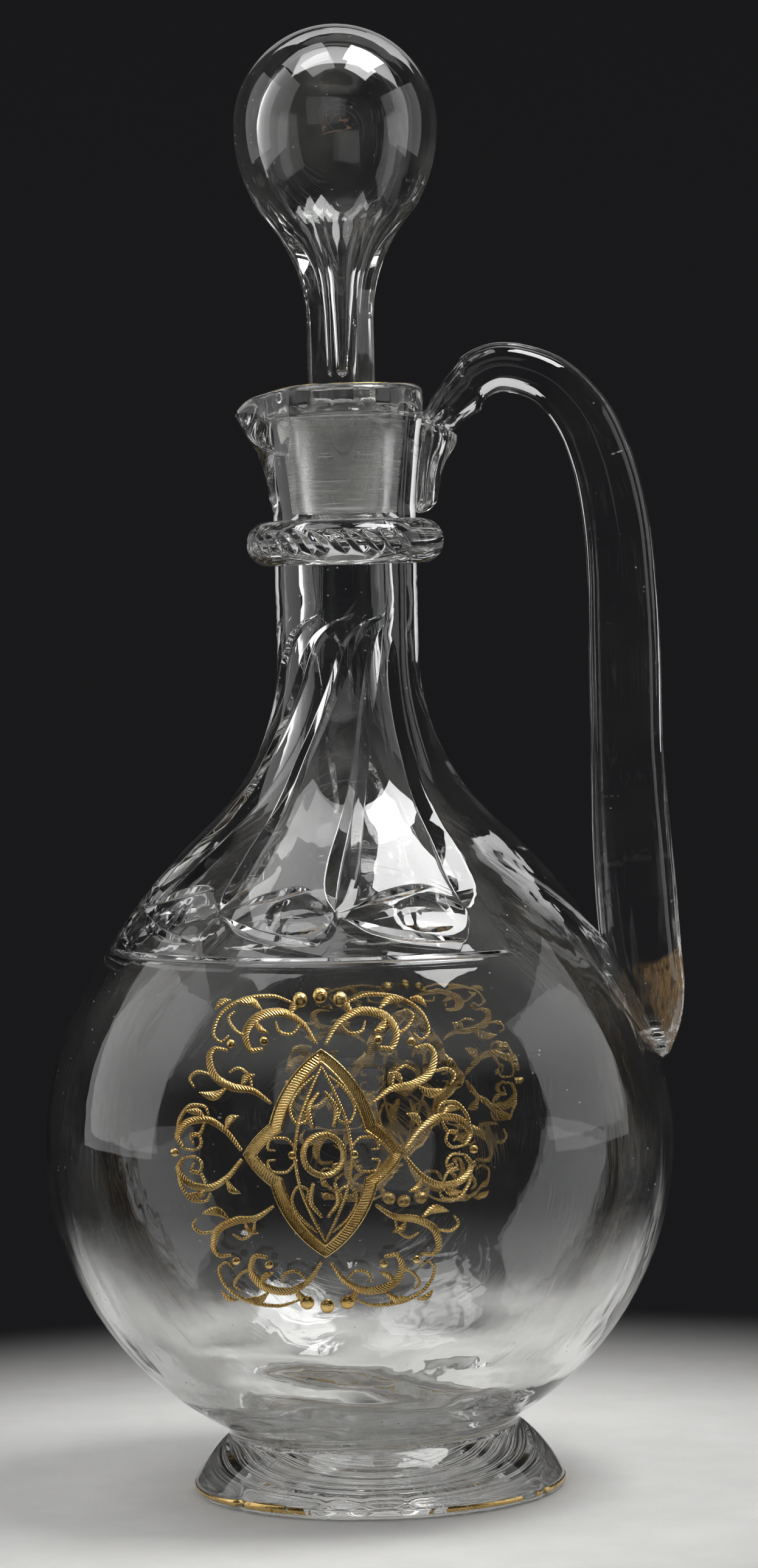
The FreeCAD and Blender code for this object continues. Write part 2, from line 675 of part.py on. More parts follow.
def make_envelope(name, *standing_off):
    """The outside of the vessel moved outwards by a sum of named sizes.

    It shapes what is pressed onto the glass, and two of them bound a skin of gold.
    """
    body, outline = turned_body(name, name + "_edge")
    gap = sum(getattr(mm, size) for size in standing_off)
    more = "".join(" + Sizes." + size for size in standing_off)
    less = more.replace("+", "-")
    curve = vessel_curve(mm.globe_radius + gap, mm.globe_centre_height,
                         mm.shoulder_radius + gap, mm.sweep_radius - gap)
    outline.start(0, mm.globe_centre_height - mm.globe_radius - gap)
    arcs = rise(outline, curve, True)
    outline.line(mm.neck_radius + gap, mm.collar_height - gap)
    outline.line(mm.lip_radius + gap, mm.lip_low_height - gap)
    outline.line(mm.lip_radius + gap, mm.rim_height + gap)
    outline.line(0, mm.rim_height + gap)
    outline.line(0, mm.globe_centre_height - mm.globe_radius - gap)
    outline.join(smooth=(0, 1))
    hold_rise(outline, arcs, "Sizes.globe_radius" + more, "Sizes.globe_centre_height",
              "Sizes.shoulder_radius" + more, "Sizes.sweep_radius" + less)
    outline.place(2, "Sizes.neck_radius" + more, "Sizes.neck_root_height")
    outline.place(3, "Sizes.neck_radius" + more, "Sizes.collar_height" + less)
    outline.place(4, "Sizes.lip_radius" + more, "Sizes.lip_low_height" + less)
    outline.place(5, "Sizes.lip_radius" + more, "Sizes.rim_height" + more)
    outline.place(6, None, "Sizes.rim_height" + more)
    outline.sketch.addConstraint(Sketcher.Constraint("PointOnObject", outline.ends[7][0], 2, -2))
    turn(body, outline.sketch, name + "_turning")
    return body


# The middle of the rod: shares of the handle's reach, of its rise, and of the rod's radius.
HANDLE_SHARES = (
    (1.086, 0.000, 0.38), (1.068, 0.042, 0.83), (1.052, 0.095, 1.06), (1.034, 0.157, 1.12),
    (1.022, 0.225, 1.13), (1.008, 0.334, 1.07), (1.000, 0.443, 1.01), (1.000, 0.552, 0.99),
    (0.997, 0.674, 0.96), (0.978, 0.783, 0.91), (0.934, 0.865, 0.84), (0.859, 0.933, 0.78),
    (0.738, 0.982, 0.71), (0.577, 1.000, 0.685), (0.441, 0.971, 0.70), (0.360, 0.928, 0.74),
    (0.280, 0.895, 0.74))

# The tail that is folded down under the rim: shares of its reach, fall and half width.
TAIL_SHARES = ((1.000, 0.00, 1.00), (0.930, 0.16, 1.00), (0.885, 0.35, 0.98),
               (0.800, 0.56, 0.95), (0.735, 0.78, 0.92), (0.682, 1.00, 0.85))


def make_handle(envelope):
    """A drawn rod, pressed on at the shoulder, arched over and folded down below the rim."""
    rise_span = mm.handle_top_height - mm.handle_low_height
    points = [FreeCAD.Vector(across * mm.handle_reach, 0, mm.handle_low_height + up * rise_span)
              for across, up, _ in HANDLE_SHARES]
    rings = []
    for number, point in enumerate(points):
        before = points[max(number - 1, 0)]
        after = points[min(number + 1, len(points) - 1)]
        turned = FreeCAD.Rotation(Z_WAY, after - before)
        rings.append(circle("rod_section", "%r * Sizes.handle_rod_radius" % HANDLE_SHARES[number][2],
                            FreeCAD.Placement(point, turned)))
    rod = loft("rod", rings)
    fall = mm.tail_top_height - mm.tail_low_height
    folds = []
    for reach, down, width in TAIL_SHARES:
        half_width = width * mm.tail_half_width
        place = FreeCAD.Vector(reach * mm.tail_reach - half_width, 0,
                               mm.tail_top_height - down * fall)
        folds.append(circle("tail_section", "%r * Sizes.tail_half_width" % width,
                            FreeCAD.Placement(place, FreeCAD.Rotation())))
    tail = loft("tail", folds)
    whole = combine("Fuse", "rod_and_tail", rod, tail)
    return combine("Cut", "handle", whole, envelope)


def swell(outline, foot_radius, foot_height, belly_radius, belly_height, underside_radius):
    """Draws the hollow flare from a stem, the underside of a ball and the half ball on top."""
    inward = foot_radius - belly_radius + underside_radius
    up = belly_height - foot_height
    flare_radius = ((inward ** 2 + up ** 2 - underside_radius ** 2)
                    / (2 * (underside_radius - inward)))
    flare_centre = (foot_radius + flare_radius, foot_height)
    underside_centre = (belly_radius - underside_radius, belly_height)
    meeting = touch(underside_centre, flare_centre, underside_radius)
    flare = outline.arc(flare_centre, *meeting, left_turn=False)
    underside = outline.arc(underside_centre, belly_radius, belly_height)
    cap = outline.arc((0, belly_height), 0, belly_height + belly_radius)
    return flare, underside, cap, flare_centre, flare_radius


def hold_swell(outline, underside, cap, belly_radius, belly_height, under):
    """Binds an underside and a cap that meet without a corner."""
    outline.radius(underside, under)
    outline.hold("DistanceY", (cap, 1), outline.sketch.getPoint(cap, 1).y, belly_height)
    outline.centre_on_axis(cap, belly_height)
    outline.radius(cap, belly_radius)
    outline.sketch.addConstraint(Sketcher.Constraint("PointOnObject", cap, 2, -2))


def make_stopper():
    """Ground plug, panelled stem and hollow ball, blown in one round an air tear."""
    body, outline = turned_body("stopper", "stopper_outside")
    taper = ((mm.socket_top_radius - mm.socket_low_radius)
             / (mm.socket_top_height - mm.socket_low_height))
    above = mm.plug_low_height + mm.plug_round - mm.socket_low_height
    plug_low = mm.socket_low_radius - mm.plug_gap + taper * above
    plug_top = mm.socket_top_radius - mm.plug_gap
    outline.start(0, mm.plug_low_height)
    outline.line(plug_low - mm.plug_round, mm.plug_low_height)
    foot_round = outline.arc((plug_low - mm.plug_round, mm.plug_low_height + mm.plug_round),
                             plug_low, mm.plug_low_height + mm.plug_round)
    outline.line(plug_top, mm.socket_top_height)
    outline.line(mm.stem_radius, mm.stem_step_height)
    outline.line(mm.stem_radius, mm.stem_top_height)
    flare, underside, cap, flare_centre, flare_radius = swell(
        outline, mm.stem_radius, mm.stem_top_height, mm.ball_radius, mm.ball_centre_height,
        mm.ball_underside_radius)
    outline.line(0, mm.plug_low_height)
    outline.join(smooth=(4, 5, 6))
    low_edge = ("Sizes.socket_low_radius - Sizes.plug_gap"
                " + (Sizes.socket_top_radius - Sizes.socket_low_radius)"
                " / (Sizes.socket_top_height - Sizes.socket_low_height)"
                " * (Sizes.plug_low_height + Sizes.plug_round - Sizes.socket_low_height)")
    outline.place(0, low_edge + " - Sizes.plug_round", "Sizes.plug_low_height")
    outline.place(1, low_edge, "Sizes.plug_low_height + Sizes.plug_round")
    outline.radius(foot_round, "Sizes.plug_round")
    outline.place(2, "Sizes.socket_top_radius - Sizes.plug_gap", "Sizes.socket_top_height")
    outline.place(3, "Sizes.stem_radius", "Sizes.stem_step_height")
    outline.place(4, "Sizes.stem_radius", "Sizes.stem_top_height")
    hold_swell(outline, underside, cap, "Sizes.ball_radius", "Sizes.ball_centre_height",
               "Sizes.ball_underside_radius")
    outline.place(8, None, "Sizes.plug_low_height")
    turn(body, outline.sketch, "stopper_turning")

    panel = Outline(body, "panel_edge")
    flat = mm.stem_radius - mm.panel_depth
    follow = flare_radius + mm.panel_depth
    top = flare_centre[0] - math.sqrt(follow ** 2 - (mm.panel_top_height - flare_centre[1]) ** 2)
    outside = mm.ball_radius + mm.overrun
    panel.start(flat, mm.panel_low_height)
    panel.line(flat, mm.stem_top_height)
    panel.arc(flare_centre, top, mm.panel_top_height, left_turn=False)
    panel.line(outside, mm.panel_top_height)
    panel.line(outside, mm.panel_low_height)
    panel.line(flat, mm.panel_low_height)
    panel.join(smooth=(0,))
    panel.place(0, "Sizes.stem_radius - Sizes.panel_depth", "Sizes.stem_top_height")
    panel.radius(1, "Sizes.flare_radius + Sizes.panel_depth")
    panel.hold("DistanceY", (1, 1), mm.panel_top_height, "Sizes.panel_top_height")
    panel.place(2, "Sizes.ball_radius + Sizes.overrun", "Sizes.panel_top_height")
    panel.place(3, "Sizes.ball_radius + Sizes.overrun", "Sizes.panel_low_height")
    panel.place(4, "Sizes.stem_radius - Sizes.panel_depth", "Sizes.panel_low_height")
    doc.recompute()
    facet = body.newObject("PartDesign::Pocket", "panel")
    facet.Profile = panel.sketch
    facet.SideType = "Symmetric"
    facet.setExpression("Length", "Sizes.panel_width")
    body.Tip = facet
    doc.recompute()
    repeat(body, facet, "panels", PANELS, None, whole_turn=True)

    tear = Outline(body, "tear_outside")
    tear.start(0, mm.bubble_end_height)
    tear.line(mm.bubble_end_radius, mm.bubble_end_height)
    tear.line(mm.bubble_tail_radius, mm.bubble_tail_height)
    flare, underside, cap, _, _ = swell(
        tear, mm.bubble_tail_radius, mm.bubble_tail_height, mm.bubble_radius,
        mm.bubble_centre_height, mm.bubble_underside_radius)
    tear.line(0, mm.bubble_end_height)
    tear.join(smooth=(2, 3))
    tear.place(0, "Sizes.bubble_end_radius", "Sizes.bubble_end_height")
    tear.place(1, "Sizes.bubble_tail_radius", "Sizes.bubble_tail_height")
    tear.hold("DistanceY", (flare, 3), mm.bubble_tail_height, "Sizes.bubble_tail_height")
    hold_swell(tear, underside, cap, "Sizes.bubble_radius", "Sizes.bubble_centre_height",
               "Sizes.bubble_underside_radius")
    tear.place(5, None, "Sizes.bubble_end_height")
    doc.recompute()
    hollow = body.newObject("PartDesign::Groove", "air_tear")
    hollow.Profile = tear.sketch
    hollow.ReferenceAxis = (tear.sketch, ["V_Axis"])
    hollow.Angle = 360
    body.Tip = hollow
    doc.recompute()
    return body


# The raised gold ornament, as shares of its half height from its middle, across and up.
# Each pointed oval of the frame has half its width and half its height.
OVAL_SHARES = ((0.37, 0.67), (0.52, 0.31))
RING_SHARE = 0.15

# Strokes of one quarter; the other three mirror it. Each point has its half width as a share of
# the stroke's own half width.
STROKE_SHARES = (
    ((0.03, 0.70, 0.5), (0.12, 0.83, 0.9), (0.27, 0.90, 1.3), (0.42, 0.86, 1.4), (0.49, 0.75, 1.1),
     (0.45, 0.66, 0.8), (0.38, 0.67, 0.6)),
    ((0.53, 0.03, 0.6), (0.63, 0.15, 0.9), (0.76, 0.22, 1.2), (0.89, 0.19, 1.2), (0.95, 0.10, 0.9),
     (0.91, 0.03, 0.5)),
    ((0.33, 0.33, 0.5), (0.45, 0.41, 1.0), (0.58, 0.43, 1.3), (0.70, 0.50, 1.3), (0.73, 0.61, 1.0),
     (0.68, 0.67, 0.7), (0.61, 0.66, 0.5)),
    ((0.62, 0.42, 0.3), (0.71, 0.37, 1.5), (0.80, 0.39, 0.2)),
    ((0.38, 0.91, 0.3), (0.46, 0.97, 1.5), (0.56, 0.96, 0.2)),
    ((0.02, 0.40, 0.5), (0.09, 0.29, 0.8), (0.07, 0.18, 0.6)))

# Middles of the large beads in the rows above and below, and of the small dots of one quarter.
BEAD_SHARES = ((-0.13, 0.975), (0.0, 1.0), (0.13, 0.975))
DOT_SHARES = ((0.37, 0.72), (0.585, 0.70), (0.97, 0.0), (0.20, 0.0))


def flat_point(across, up):
    return FreeCAD.Vector(across, 0, up)


def pointed_oval(half_width, half_height):
    """The face that two equal circles share, upright or lying down."""
    below, above = flat_point(0, -half_height), flat_point(0, half_height)
    left, right = flat_point(-half_width, 0), flat_point(half_width, 0)
    if half_height > half_width:
        sides = (Part.Arc(below, right, above), Part.Arc(above, left, below))
    else:
        sides = (Part.Arc(left, above, right), Part.Arc(right, below, left))
    return Part.Face(Part.Wire([side.toShape() for side in sides]))


def stroke_face(points):
    """A drawn stroke: a smooth line through the points, as wide at each as its share says."""
    middle = Part.BSplineCurve()
    middle.interpolate([flat_point(across, up) for across, up, _ in points])
    left, right = [], []
    for across, up, half_width in points:
        at = middle.parameter(flat_point(across, up))
        along = middle.tangent(at)[0]
        aside = FreeCAD.Vector(-along.z, 0, along.x).normalize() * half_width
        left.append(flat_point(across, up) + aside)
        right.append(flat_point(across, up) - aside)
    sides = []
    for side in (left, right):
        curve = Part.BSplineCurve()
        curve.interpolate(side)
        sides.append(curve.toShape())
    ends = [Part.LineSegment(left[0], right[0]).toShape(),
            Part.LineSegment(left[-1], right[-1]).toShape()]
    return Part.Face(Part.Wire(Part.__sortEdges__(sides + ends)))


def disc(across, up, radius):
    """A round face of the ornament."""
    edge = Part.Circle(flat_point(across, up), Y_WAY, radius).toShape()
    return Part.Face(Part.Wire([edge]))


def mirrored(points):
    """The same points in all four quarters; a point on an axis is kept once."""
    seen = []
    for side in (1, -1):
        for above in (1, -1):
            copy = tuple((side * p[0], above * p[1]) + tuple(p[2:]) for p in points)
            if copy not in seen:
                seen.append(copy)
    return seen


def united(faces):
    """Blocks raised from flat faces and joined where they overlap."""
    depth = FreeCAD.Vector(0, mm.globe_radius + mm.overrun, 0)
    blocks = [face.extrude(depth) for face in faces]
    return blocks[0].multiFuse(blocks[1:]).removeSplitter()


def frame_block(half_height):
    """A ribbon that follows two crossed pointed ovals, with a small ring in the middle."""
    outer = united([pointed_oval(wide * half_height, high * half_height)
                    for wide, high in OVAL_SHARES])
    inner = united([pointed_oval(wide * half_height - mm.ribbon_width,
                                 high * half_height - mm.ribbon_width)
                    for wide, high in OVAL_SHARES])
    ring_radius = RING_SHARE * half_height
    ring_hole = disc(0, 0, ring_radius - mm.stroke_half_width * 2)
    ring = disc(0, 0, ring_radius).cut(ring_hole)
    depth = FreeCAD.Vector(0, mm.globe_radius + mm.overrun, 0)
    return Part.makeCompound(outer.cut(inner).Solids + ring.extrude(depth).Solids)


def scroll_block(half_height):
    """The scrolls, tendrils and leaves round the frame."""
    faces = []
    for stroke in STROKE_SHARES:
        for copy in mirrored(stroke):
            faces.append(stroke_face([(across * half_height, up * half_height,
                                       wide * mm.stroke_half_width) for across, up, wide in copy]))
    return united(faces)


def bead_block(half_height):
    """Rows of beads above and below, and dots at the ends of the scrolls."""
    faces = []
    for across, up in BEAD_SHARES:
        for above in (1, -1):
            faces.append(disc(across * half_height, above * up * half_height, mm.bead_radius))
    for dot in DOT_SHARES:
        for (place,) in mirrored((dot,)):
            faces.append(disc(place[0] * half_height, place[1] * half_height, mm.dot_radius))
    return united(faces)


def gold_skin(block, face, offset, side):
    """Keeps of a block what lies between the fused joint and the face of the gold.

    side is -1 in front and 1 at the back.
    """
    moved = block.copy()
    if side < 0:
        moved.rotate(FreeCAD.Vector(), Z_WAY, 180)
    moved.translate(FreeCAD.Vector(offset, 0, mm.ornament_height))
    return Part.makeCompound(moved.common(face).cut(envelope.Shape).Solids)


def stored(label, shape):
    """Keeps a shape made with these functions as an object of the document."""
    thing = doc.addObject("Part::Feature", label)
    thing.Shape = shape
    thing.Placement = FreeCAD.Placement()
    return thing


def make_ornament(name, half_height, offset, side):
    """The three layers of one gold ornament."""
    layers = ((name + "_gilt_frame", frame_block, gilt_face),
              (name + "_gilt_scrolls", scroll_block, gilt_face),
              (name + "_gilt_beads", bead_block, bead_face))
    return [stored(label, gold_skin(block(half_height), face.Shape, offset, side))
            for label, block, face in layers]


def make_band(label, inner, outer, low, high):
    """A thin painted band of gold, turned from a rectangle of four bound edges."""
    body, outline = turned_body(label, label + "_section")
    points = [tuple(outline_value(edge) for edge in corner)
              for corner in ((inner, low), (outer, low), (outer, high), (inner, high))]
    outline.start(*points[0])
    for point in points[1:] + points[:1]:
        outline.line(*point)
    outline.join()
    outline.place(0, outer, low)
    outline.place(1, outer, high)
    outline.place(2, inner, high)
    outline.place(3, inner, low)
    turn(body, outline.sketch, label + "_turning")
    return body


def outline_value(expression):
    """The length that a sum of named cells gives."""
    total, sign = 0, 1
    for word in expression.split():
        if word in "+-":
            sign = 1 if word == "+" else -1
        else:
            total += sign * getattr(mm, word.split(".")[1])
    return total


def make_foot_line():
    """Painted gold line on the upright edge of the foot."""
    band = make_band("foot_gilt_line", "Sizes.foot_radius + Sizes.fuse_gap",
                     "Sizes.foot_radius + Sizes.fuse_gap + Sizes.paint_thickness",
                     "Sizes.foot_line_low", "Sizes.foot_line_high")
    band.setExpression("Placement.Base.x", "Sizes.foot_offset")
    doc.recompute()
    return band


def make_rim_line(channel):
    """Painted gold line on the rim, open where the spout's channel leaves the mouth."""
    band = make_band("rim_band", "Sizes.rim_line_inner_radius", "Sizes.rim_line_outer_radius",
                     "Sizes.rim_height + Sizes.fuse_gap",
                     "Sizes.rim_height + Sizes.fuse_gap + Sizes.paint_thickness")
    return combine("Cut", "rim_gilt_line", band, channel)


vessel = make_vessel()
envelope = make_envelope("envelope", "fuse_gap")
gilt_face = make_envelope("gilt_face", "fuse_gap", "gilt_thickness")
bead_face = make_envelope("bead_face", "fuse_gap", "bead_thickness")
parts = [vessel, make_foot(), make_ring(), make_handle(envelope), make_stopper()]
parts += make_ornament("front", mm.front_ornament_half_height, mm.front_ornament_offset, -1)
parts += make_ornament("back", mm.back_ornament_half_height, mm.back_ornament_offset, 1)
parts += [make_foot_line(), make_rim_line(doc.getObject("spout_channel"))]
doc.recompute()

for thing in doc.Objects:
    if "Invalid" in thing.State or "Error" in thing.State:
        raise RuntimeError("%s did not build: %s" % (thing.Name, thing.State))

os.makedirs("parts", exist_ok=True)
for part in parts:
    shape = part.Shape
    if shape.isNull() or not shape.isValid() or not shape.Solids:
        raise RuntimeError("%s has no sound solid" % part.Label)
    shape.exportStep("parts/%s.step" % part.Label)
    print("%s: solids %d, volume %.1f" % (part.Label, len(shape.Solids), shape.Volume))
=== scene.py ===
import bpy
import math
import numpy as np
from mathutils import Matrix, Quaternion, Vector


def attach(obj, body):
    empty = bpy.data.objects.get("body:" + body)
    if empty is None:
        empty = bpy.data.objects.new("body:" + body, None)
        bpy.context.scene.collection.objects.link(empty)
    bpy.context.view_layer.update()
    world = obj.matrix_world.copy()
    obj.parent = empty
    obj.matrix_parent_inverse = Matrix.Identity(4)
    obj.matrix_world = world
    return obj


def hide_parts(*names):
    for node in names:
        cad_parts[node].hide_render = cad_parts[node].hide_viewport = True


# A footed glass decanter: blown vessel, spun foot, notched ring, drawn handle, ground stopper and
# gilding. Shapes are worked out in millimetres and laid into the meshes in metres. Heights are
# above the plane the foot stands on, and turns are degrees from the front, which is -Y, towards
# the handle, which is +X.

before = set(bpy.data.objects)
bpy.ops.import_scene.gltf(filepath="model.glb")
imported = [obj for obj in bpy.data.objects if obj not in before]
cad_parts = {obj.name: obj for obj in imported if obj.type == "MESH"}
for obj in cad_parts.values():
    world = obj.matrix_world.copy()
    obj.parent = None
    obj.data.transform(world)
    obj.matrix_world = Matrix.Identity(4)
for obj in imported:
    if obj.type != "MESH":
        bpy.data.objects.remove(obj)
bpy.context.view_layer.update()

MM = 0.001


def smooth_path(stations, values, at):
    """Values between stations, by cubic pieces whose slope at a station is the mean of the slopes
    beside it, and zero where those slopes have different signs, so that nothing overshoots."""
    stations, values = np.asarray(stations, float), np.asarray(values, float)
    flat = values.ndim == 1
    if flat:
        values = values[:, None]
    run = np.diff(stations)[:, None]
    slope = np.diff(values, axis=0) / run
    mean = (slope[:-1] + slope[1:]) / 2
    mean[slope[:-1] * slope[1:] <= 0] = 0
    slopes = np.concatenate([slope[:1], mean, slope[-1:]])
    at = np.clip(np.asarray(at, float), stations[0], stations[-1])
    k = np.clip(np.searchsorted(stations, at, side="right") - 1, 0, len(stations) - 2)
    h = run[k][..., 0]
    t = ((at - stations[k]) / h)[..., None]
    h = h[..., None]
    out = ((2 * t**3 - 3 * t**2 + 1) * values[k] + (t**3 - 2 * t**2 + t) * h * slopes[k]
           + (3 * t**2 - 2 * t**3) * values[k + 1] + (t**3 - t**2) * h * slopes[k + 1])
    return out[..., 0] if flat else out


def ease(x, low, high):
    """0 below low, 1 above high and 3t^2 - 2t^3 between them."""
    t = np.clip((x - low) / (high - low), 0, 1)
    return t * t * (3 - 2 * t)


def bump(x, middle, spread):
    """A bell: e to the minus square of the distance from the middle over the spread."""
    return np.exp(-(((x - middle) / spread) ** 2))


def turned(radius, turn, height):
    """Points at a radius, a turn in degrees from the front, and a height."""
    a = np.radians(turn)
    return np.stack([radius * np.sin(a), -radius * np.cos(a), height + 0 * a], -1)


def hand_made(turn, height, coarse):
    """Unevenness of blown glass, about -1 to 1: a sum of waves round the axis and along it, with
    lengths of a few centimetres where coarse is 1 and shorter as it grows."""
    a = np.radians(turn)
    z = height * coarse / 20
    return (np.sin(2 * a + 0.9 * z + 0.4) * 0.34 + np.sin(3 * a - 1.3 * z + 2.1) * 0.27
            + np.sin(5 * a * np.ceil(coarse) + 0.6 * z + 4.0) * 0.2
            + np.sin(a + 1.9 * z + 1.0) * 0.19)


def arc(middle, radius, angles):
    """Radius and height of points on an arc: its middle and its radius times cosine and sine. A
    radius below zero gives the side of the circle that faces the axis."""
    return [(middle[0] + radius * math.cos(a), middle[1] + radius * math.sin(a)) for a in angles]


class Skin:
    """Collects the grids of one piece, a finish for each face and the edges that stay sharp."""

    def __init__(self):
        self.points, self.faces, self.finish = [], [], []
        self.sharp, self.sheet, self.count = [], [], 0

    def add_points(self, points, sheet=None):
        """sheet is two numbers for each point, for a finish that follows the piece."""
        points = np.asarray(points, float).reshape(-1, 3)
        first = self.count
        self.points.append(points)
        self.sheet.append(np.zeros((len(points), 2)) if sheet is None
                          else np.asarray(sheet, float).reshape(-1, 2))
        self.count += len(points)
        return np.arange(first, self.count)

    def add_faces(self, corners, finish=0):
        corners = np.asarray(corners, np.int64)
        self.faces.append(corners)
        self.finish.append(np.broadcast_to(np.asarray(finish, np.int32), len(corners)).copy())

    def grid(self, points, finish=0, loop=False, sharp=None, sheet=None):
        """Lays quads over rows and columns of points; the last column joins the first, and with
        loop the last row the first. sharp is a mask of the edges down the columns."""
        rows, cols = points.shape[:2]
        index = self.add_points(points, sheet).reshape(rows, cols)
        ring = np.concatenate([index, index[:, :1]], 1)
        if loop:
            ring = np.concatenate([ring, ring[:1]])
        quads = np.stack([ring[:-1, :-1], ring[:-1, 1:], ring[1:, 1:], ring[1:, :-1]], -1)
        self.add_faces(quads.reshape(-1, 4),
                       np.broadcast_to(finish, quads.shape[:2]).reshape(-1))
        if sharp is not None:
            self.sharp.append(np.stack([index[:-1][sharp], index[1:][sharp]], -1))
        return index

    def close(self, ring, point, finish=0, last=True):
        """Shuts an end of a wrapped grid with triangles to one point."""
        tip = self.add_points([point])[0]
        following = np.roll(ring, -1)
        fan = (ring, following, np.full_like(ring, tip))
        if not last:
            fan = (following, ring, np.full_like(ring, tip))
        self.add_faces(np.stack(fan, -1), finish)

    def volume(self, points):
        """Volume inside the faces, below zero where they point inwards: a sixth of the triple
        product of each triangle's corners, added up."""
        total = 0.0
        for faces in self.faces:
            for k in range(1, faces.shape[1] - 1):
                a, b, c = (points[faces[:, i]] for i in (0, k, k + 1))
                total += np.einsum("ij,ij->", a, np.cross(b, c)) / 6
        return total

    def make(self, name, finishes, body, nodes):
        """Puts the points into a mesh, faces outwards, and hands the piece to its CAD body."""
        points = np.concatenate(self.points)
        if self.volume(points) < 0:
            self.faces = [faces[:, ::-1] for faces in self.faces]
        mesh = bpy.data.meshes.new(name)
        mesh.from_pydata((points * MM).tolist(), [],
                         [face for faces in self.faces for face in faces.tolist()])
        mesh.update()
        mesh.polygons.foreach_set("material_index", np.concatenate(self.finish))
        mesh.polygons.foreach_set("use_smooth", np.ones(len(mesh.polygons), bool))
        if self.sharp:
            pairs = np.sort(np.concatenate(self.sharp), 1)
            keys = pairs[:, 0] * self.count + pairs[:, 1]
            ends = np.zeros(len(mesh.edges) * 2, np.int64)
            mesh.edges.foreach_get("vertices", ends)
            ends = np.sort(ends.reshape(-1, 2), 1)
            mark = np.isin(ends[:, 0] * self.count + ends[:, 1], keys)
            layer = mesh.attributes.new("sharp_edge", "BOOLEAN", "EDGE")
            layer.data.foreach_set("value", mark)
        sheet = np.concatenate(self.sheet)
        if sheet.any():
            loops = np.zeros(len(mesh.loops), np.int64)
            mesh.loops.foreach_get("vertex_index", loops)
            layer = mesh.uv_layers.new(name="along")
            layer.uv.foreach_set("vector", sheet[loops].astype(np.float32).ravel())
        for finish in finishes:
            mesh.materials.append(finish)
        mesh.update()
        piece = bpy.data.objects.new(name, mesh)
        bpy.context.scene.collection.objects.link(piece)
        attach(piece, body)
        if nodes:
            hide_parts(*nodes)
        return piece


# Places of the finishes in a piece's own list, after its clear glass.
FUSED, GROUND, BASE = 1, 2, 2

# Radii and heights that more than one shape uses.
NECK, NECK_ROOT, BORE = 15.1, 178.0, 9.4
GLOBE, GLOBE_Z, HOLLOW, HOLLOW_Z = 66.85, 74.0, 63.85, 75.4
CONTACT_RISE, FILLET_FALL = 1.2, 1.8
FOOT_X = 2.6
RING_LOW, RING_HIGH, RING, COLLAR = 196.8, 206.2, 20.95, 208.0
LIP, LIP_Z, LIP_MIDDLE, SPOUT_PULL = 1.9, 232.6, 17.2, 5.6
SPOUT_TURN = -90.0


class Wall:
    """Three arcs that run into one another: the middle one holds the first circle inside it and
    touches the last from outside, so its centre is where two distances from theirs meet."""

    def __init__(self, globe, globe_z, shoulder, sweep, neck):
        self.globe, self.globe_z, self.neck = globe, globe_z, neck
        self.shoulder, self.sweep = shoulder, sweep
        low_at, high_at = np.array([0, globe_z]), np.array([neck + sweep, NECK_ROOT])
        first, second = shoulder - globe, shoulder + sweep
        apart = np.hypot(*(high_at - low_at))
        along = (first**2 - second**2 + apart**2) / (2 * apart)
        way = (high_at - low_at) / apart
        self.middle = (low_at + along * way
                       + math.sqrt(first**2 - along**2) * np.array([-way[1], way[0]]))
        self.sweep_at = high_at
        to_low, to_high = low_at - self.middle, high_at - self.middle
        self.low_z = self.middle[1] + to_low[1] / np.hypot(*to_low) * shoulder
        self.high_z = self.middle[1] + to_high[1] / np.hypot(*to_high) * shoulder

    def radius(self, height):
        """Radius at a height: the root of R^2 less the square of the height above each centre."""
        def root(radius, centre):
            return np.sqrt(np.maximum(radius**2 - (height - centre) ** 2, 0))
        return np.select(
            [height <= self.low_z, height <= self.high_z, height <= NECK_ROOT],
            [root(self.globe, self.globe_z),
             self.middle[0] + root(self.shoulder, self.middle[1]),
             self.sweep_at[0] - root(self.sweep, NECK_ROOT)], self.neck)

    def offset(self, height, depth):
        """Radius and height of the point that lies depth below the surface, along its normal."""
        step = 0.05
        steep = (self.radius(height + step) - self.radius(height - step)) / (2 * step)
        steep = np.clip(steep, -40, 40)
        length = np.sqrt(1 + steep**2)
        return self.radius(height) - depth / length, height + depth * steep / length


# The outside and the inside of the blown wall, each an arc for the globe, one for the shoulder and
# one for the sweep up to the neck.
OUTER = Wall(GLOBE, GLOBE_Z, 130.0, 49.0, NECK)
INNER = Wall(HOLLOW, HOLLOW_Z, 127.0, 54.7, BORE)

# The long mitre cuts: the turn of each mitre line at these heights. The first three are seen in
# front; the rest are cut like them round the back.
PATH_HEIGHTS = (112, 127, 133, 141, 149, 157, 165, 173, 178, 182, 184.5, 186.4, 192)
MITRES = np.array((
    (-207, -207, -206.4, -204.5, -201.5, -196.5, -189.5, -180, -173, -163, -151, -138, -130),
    (-173, -173, -172.4, -170.5, -166.5, -160.5, -152, -141, -134, -124, -112, -99, -91),
    (-139, -139, -138.4, -136, -132, -126, -117, -106, -98, -87, -75, -61, -53),
    (-105, -105, -104.3, -101.5, -97, -91, -82, -70, -61, -50, -38, -24, -16),
    (-71, -71, -70, -68, -65.5, -61, -53, -42, -34, -23, -10, 5, 13),
    (-36.8, -36.8, -34.8, -34, -33.2, -30, -21.5, -10.5, -4, 5.5, 16.5, 32, 37),
    (-4.7, -4.7, -4.1, -1.8, 2.1, 6.3, 11.2, 17.5, 21.5, 26, 33, 42, 48),
    (30.4, 30.4, 29.8, 31.3, 32.2, 33.9, 34.3, 34.8, 36.5, 41, 47, 54, 60)))
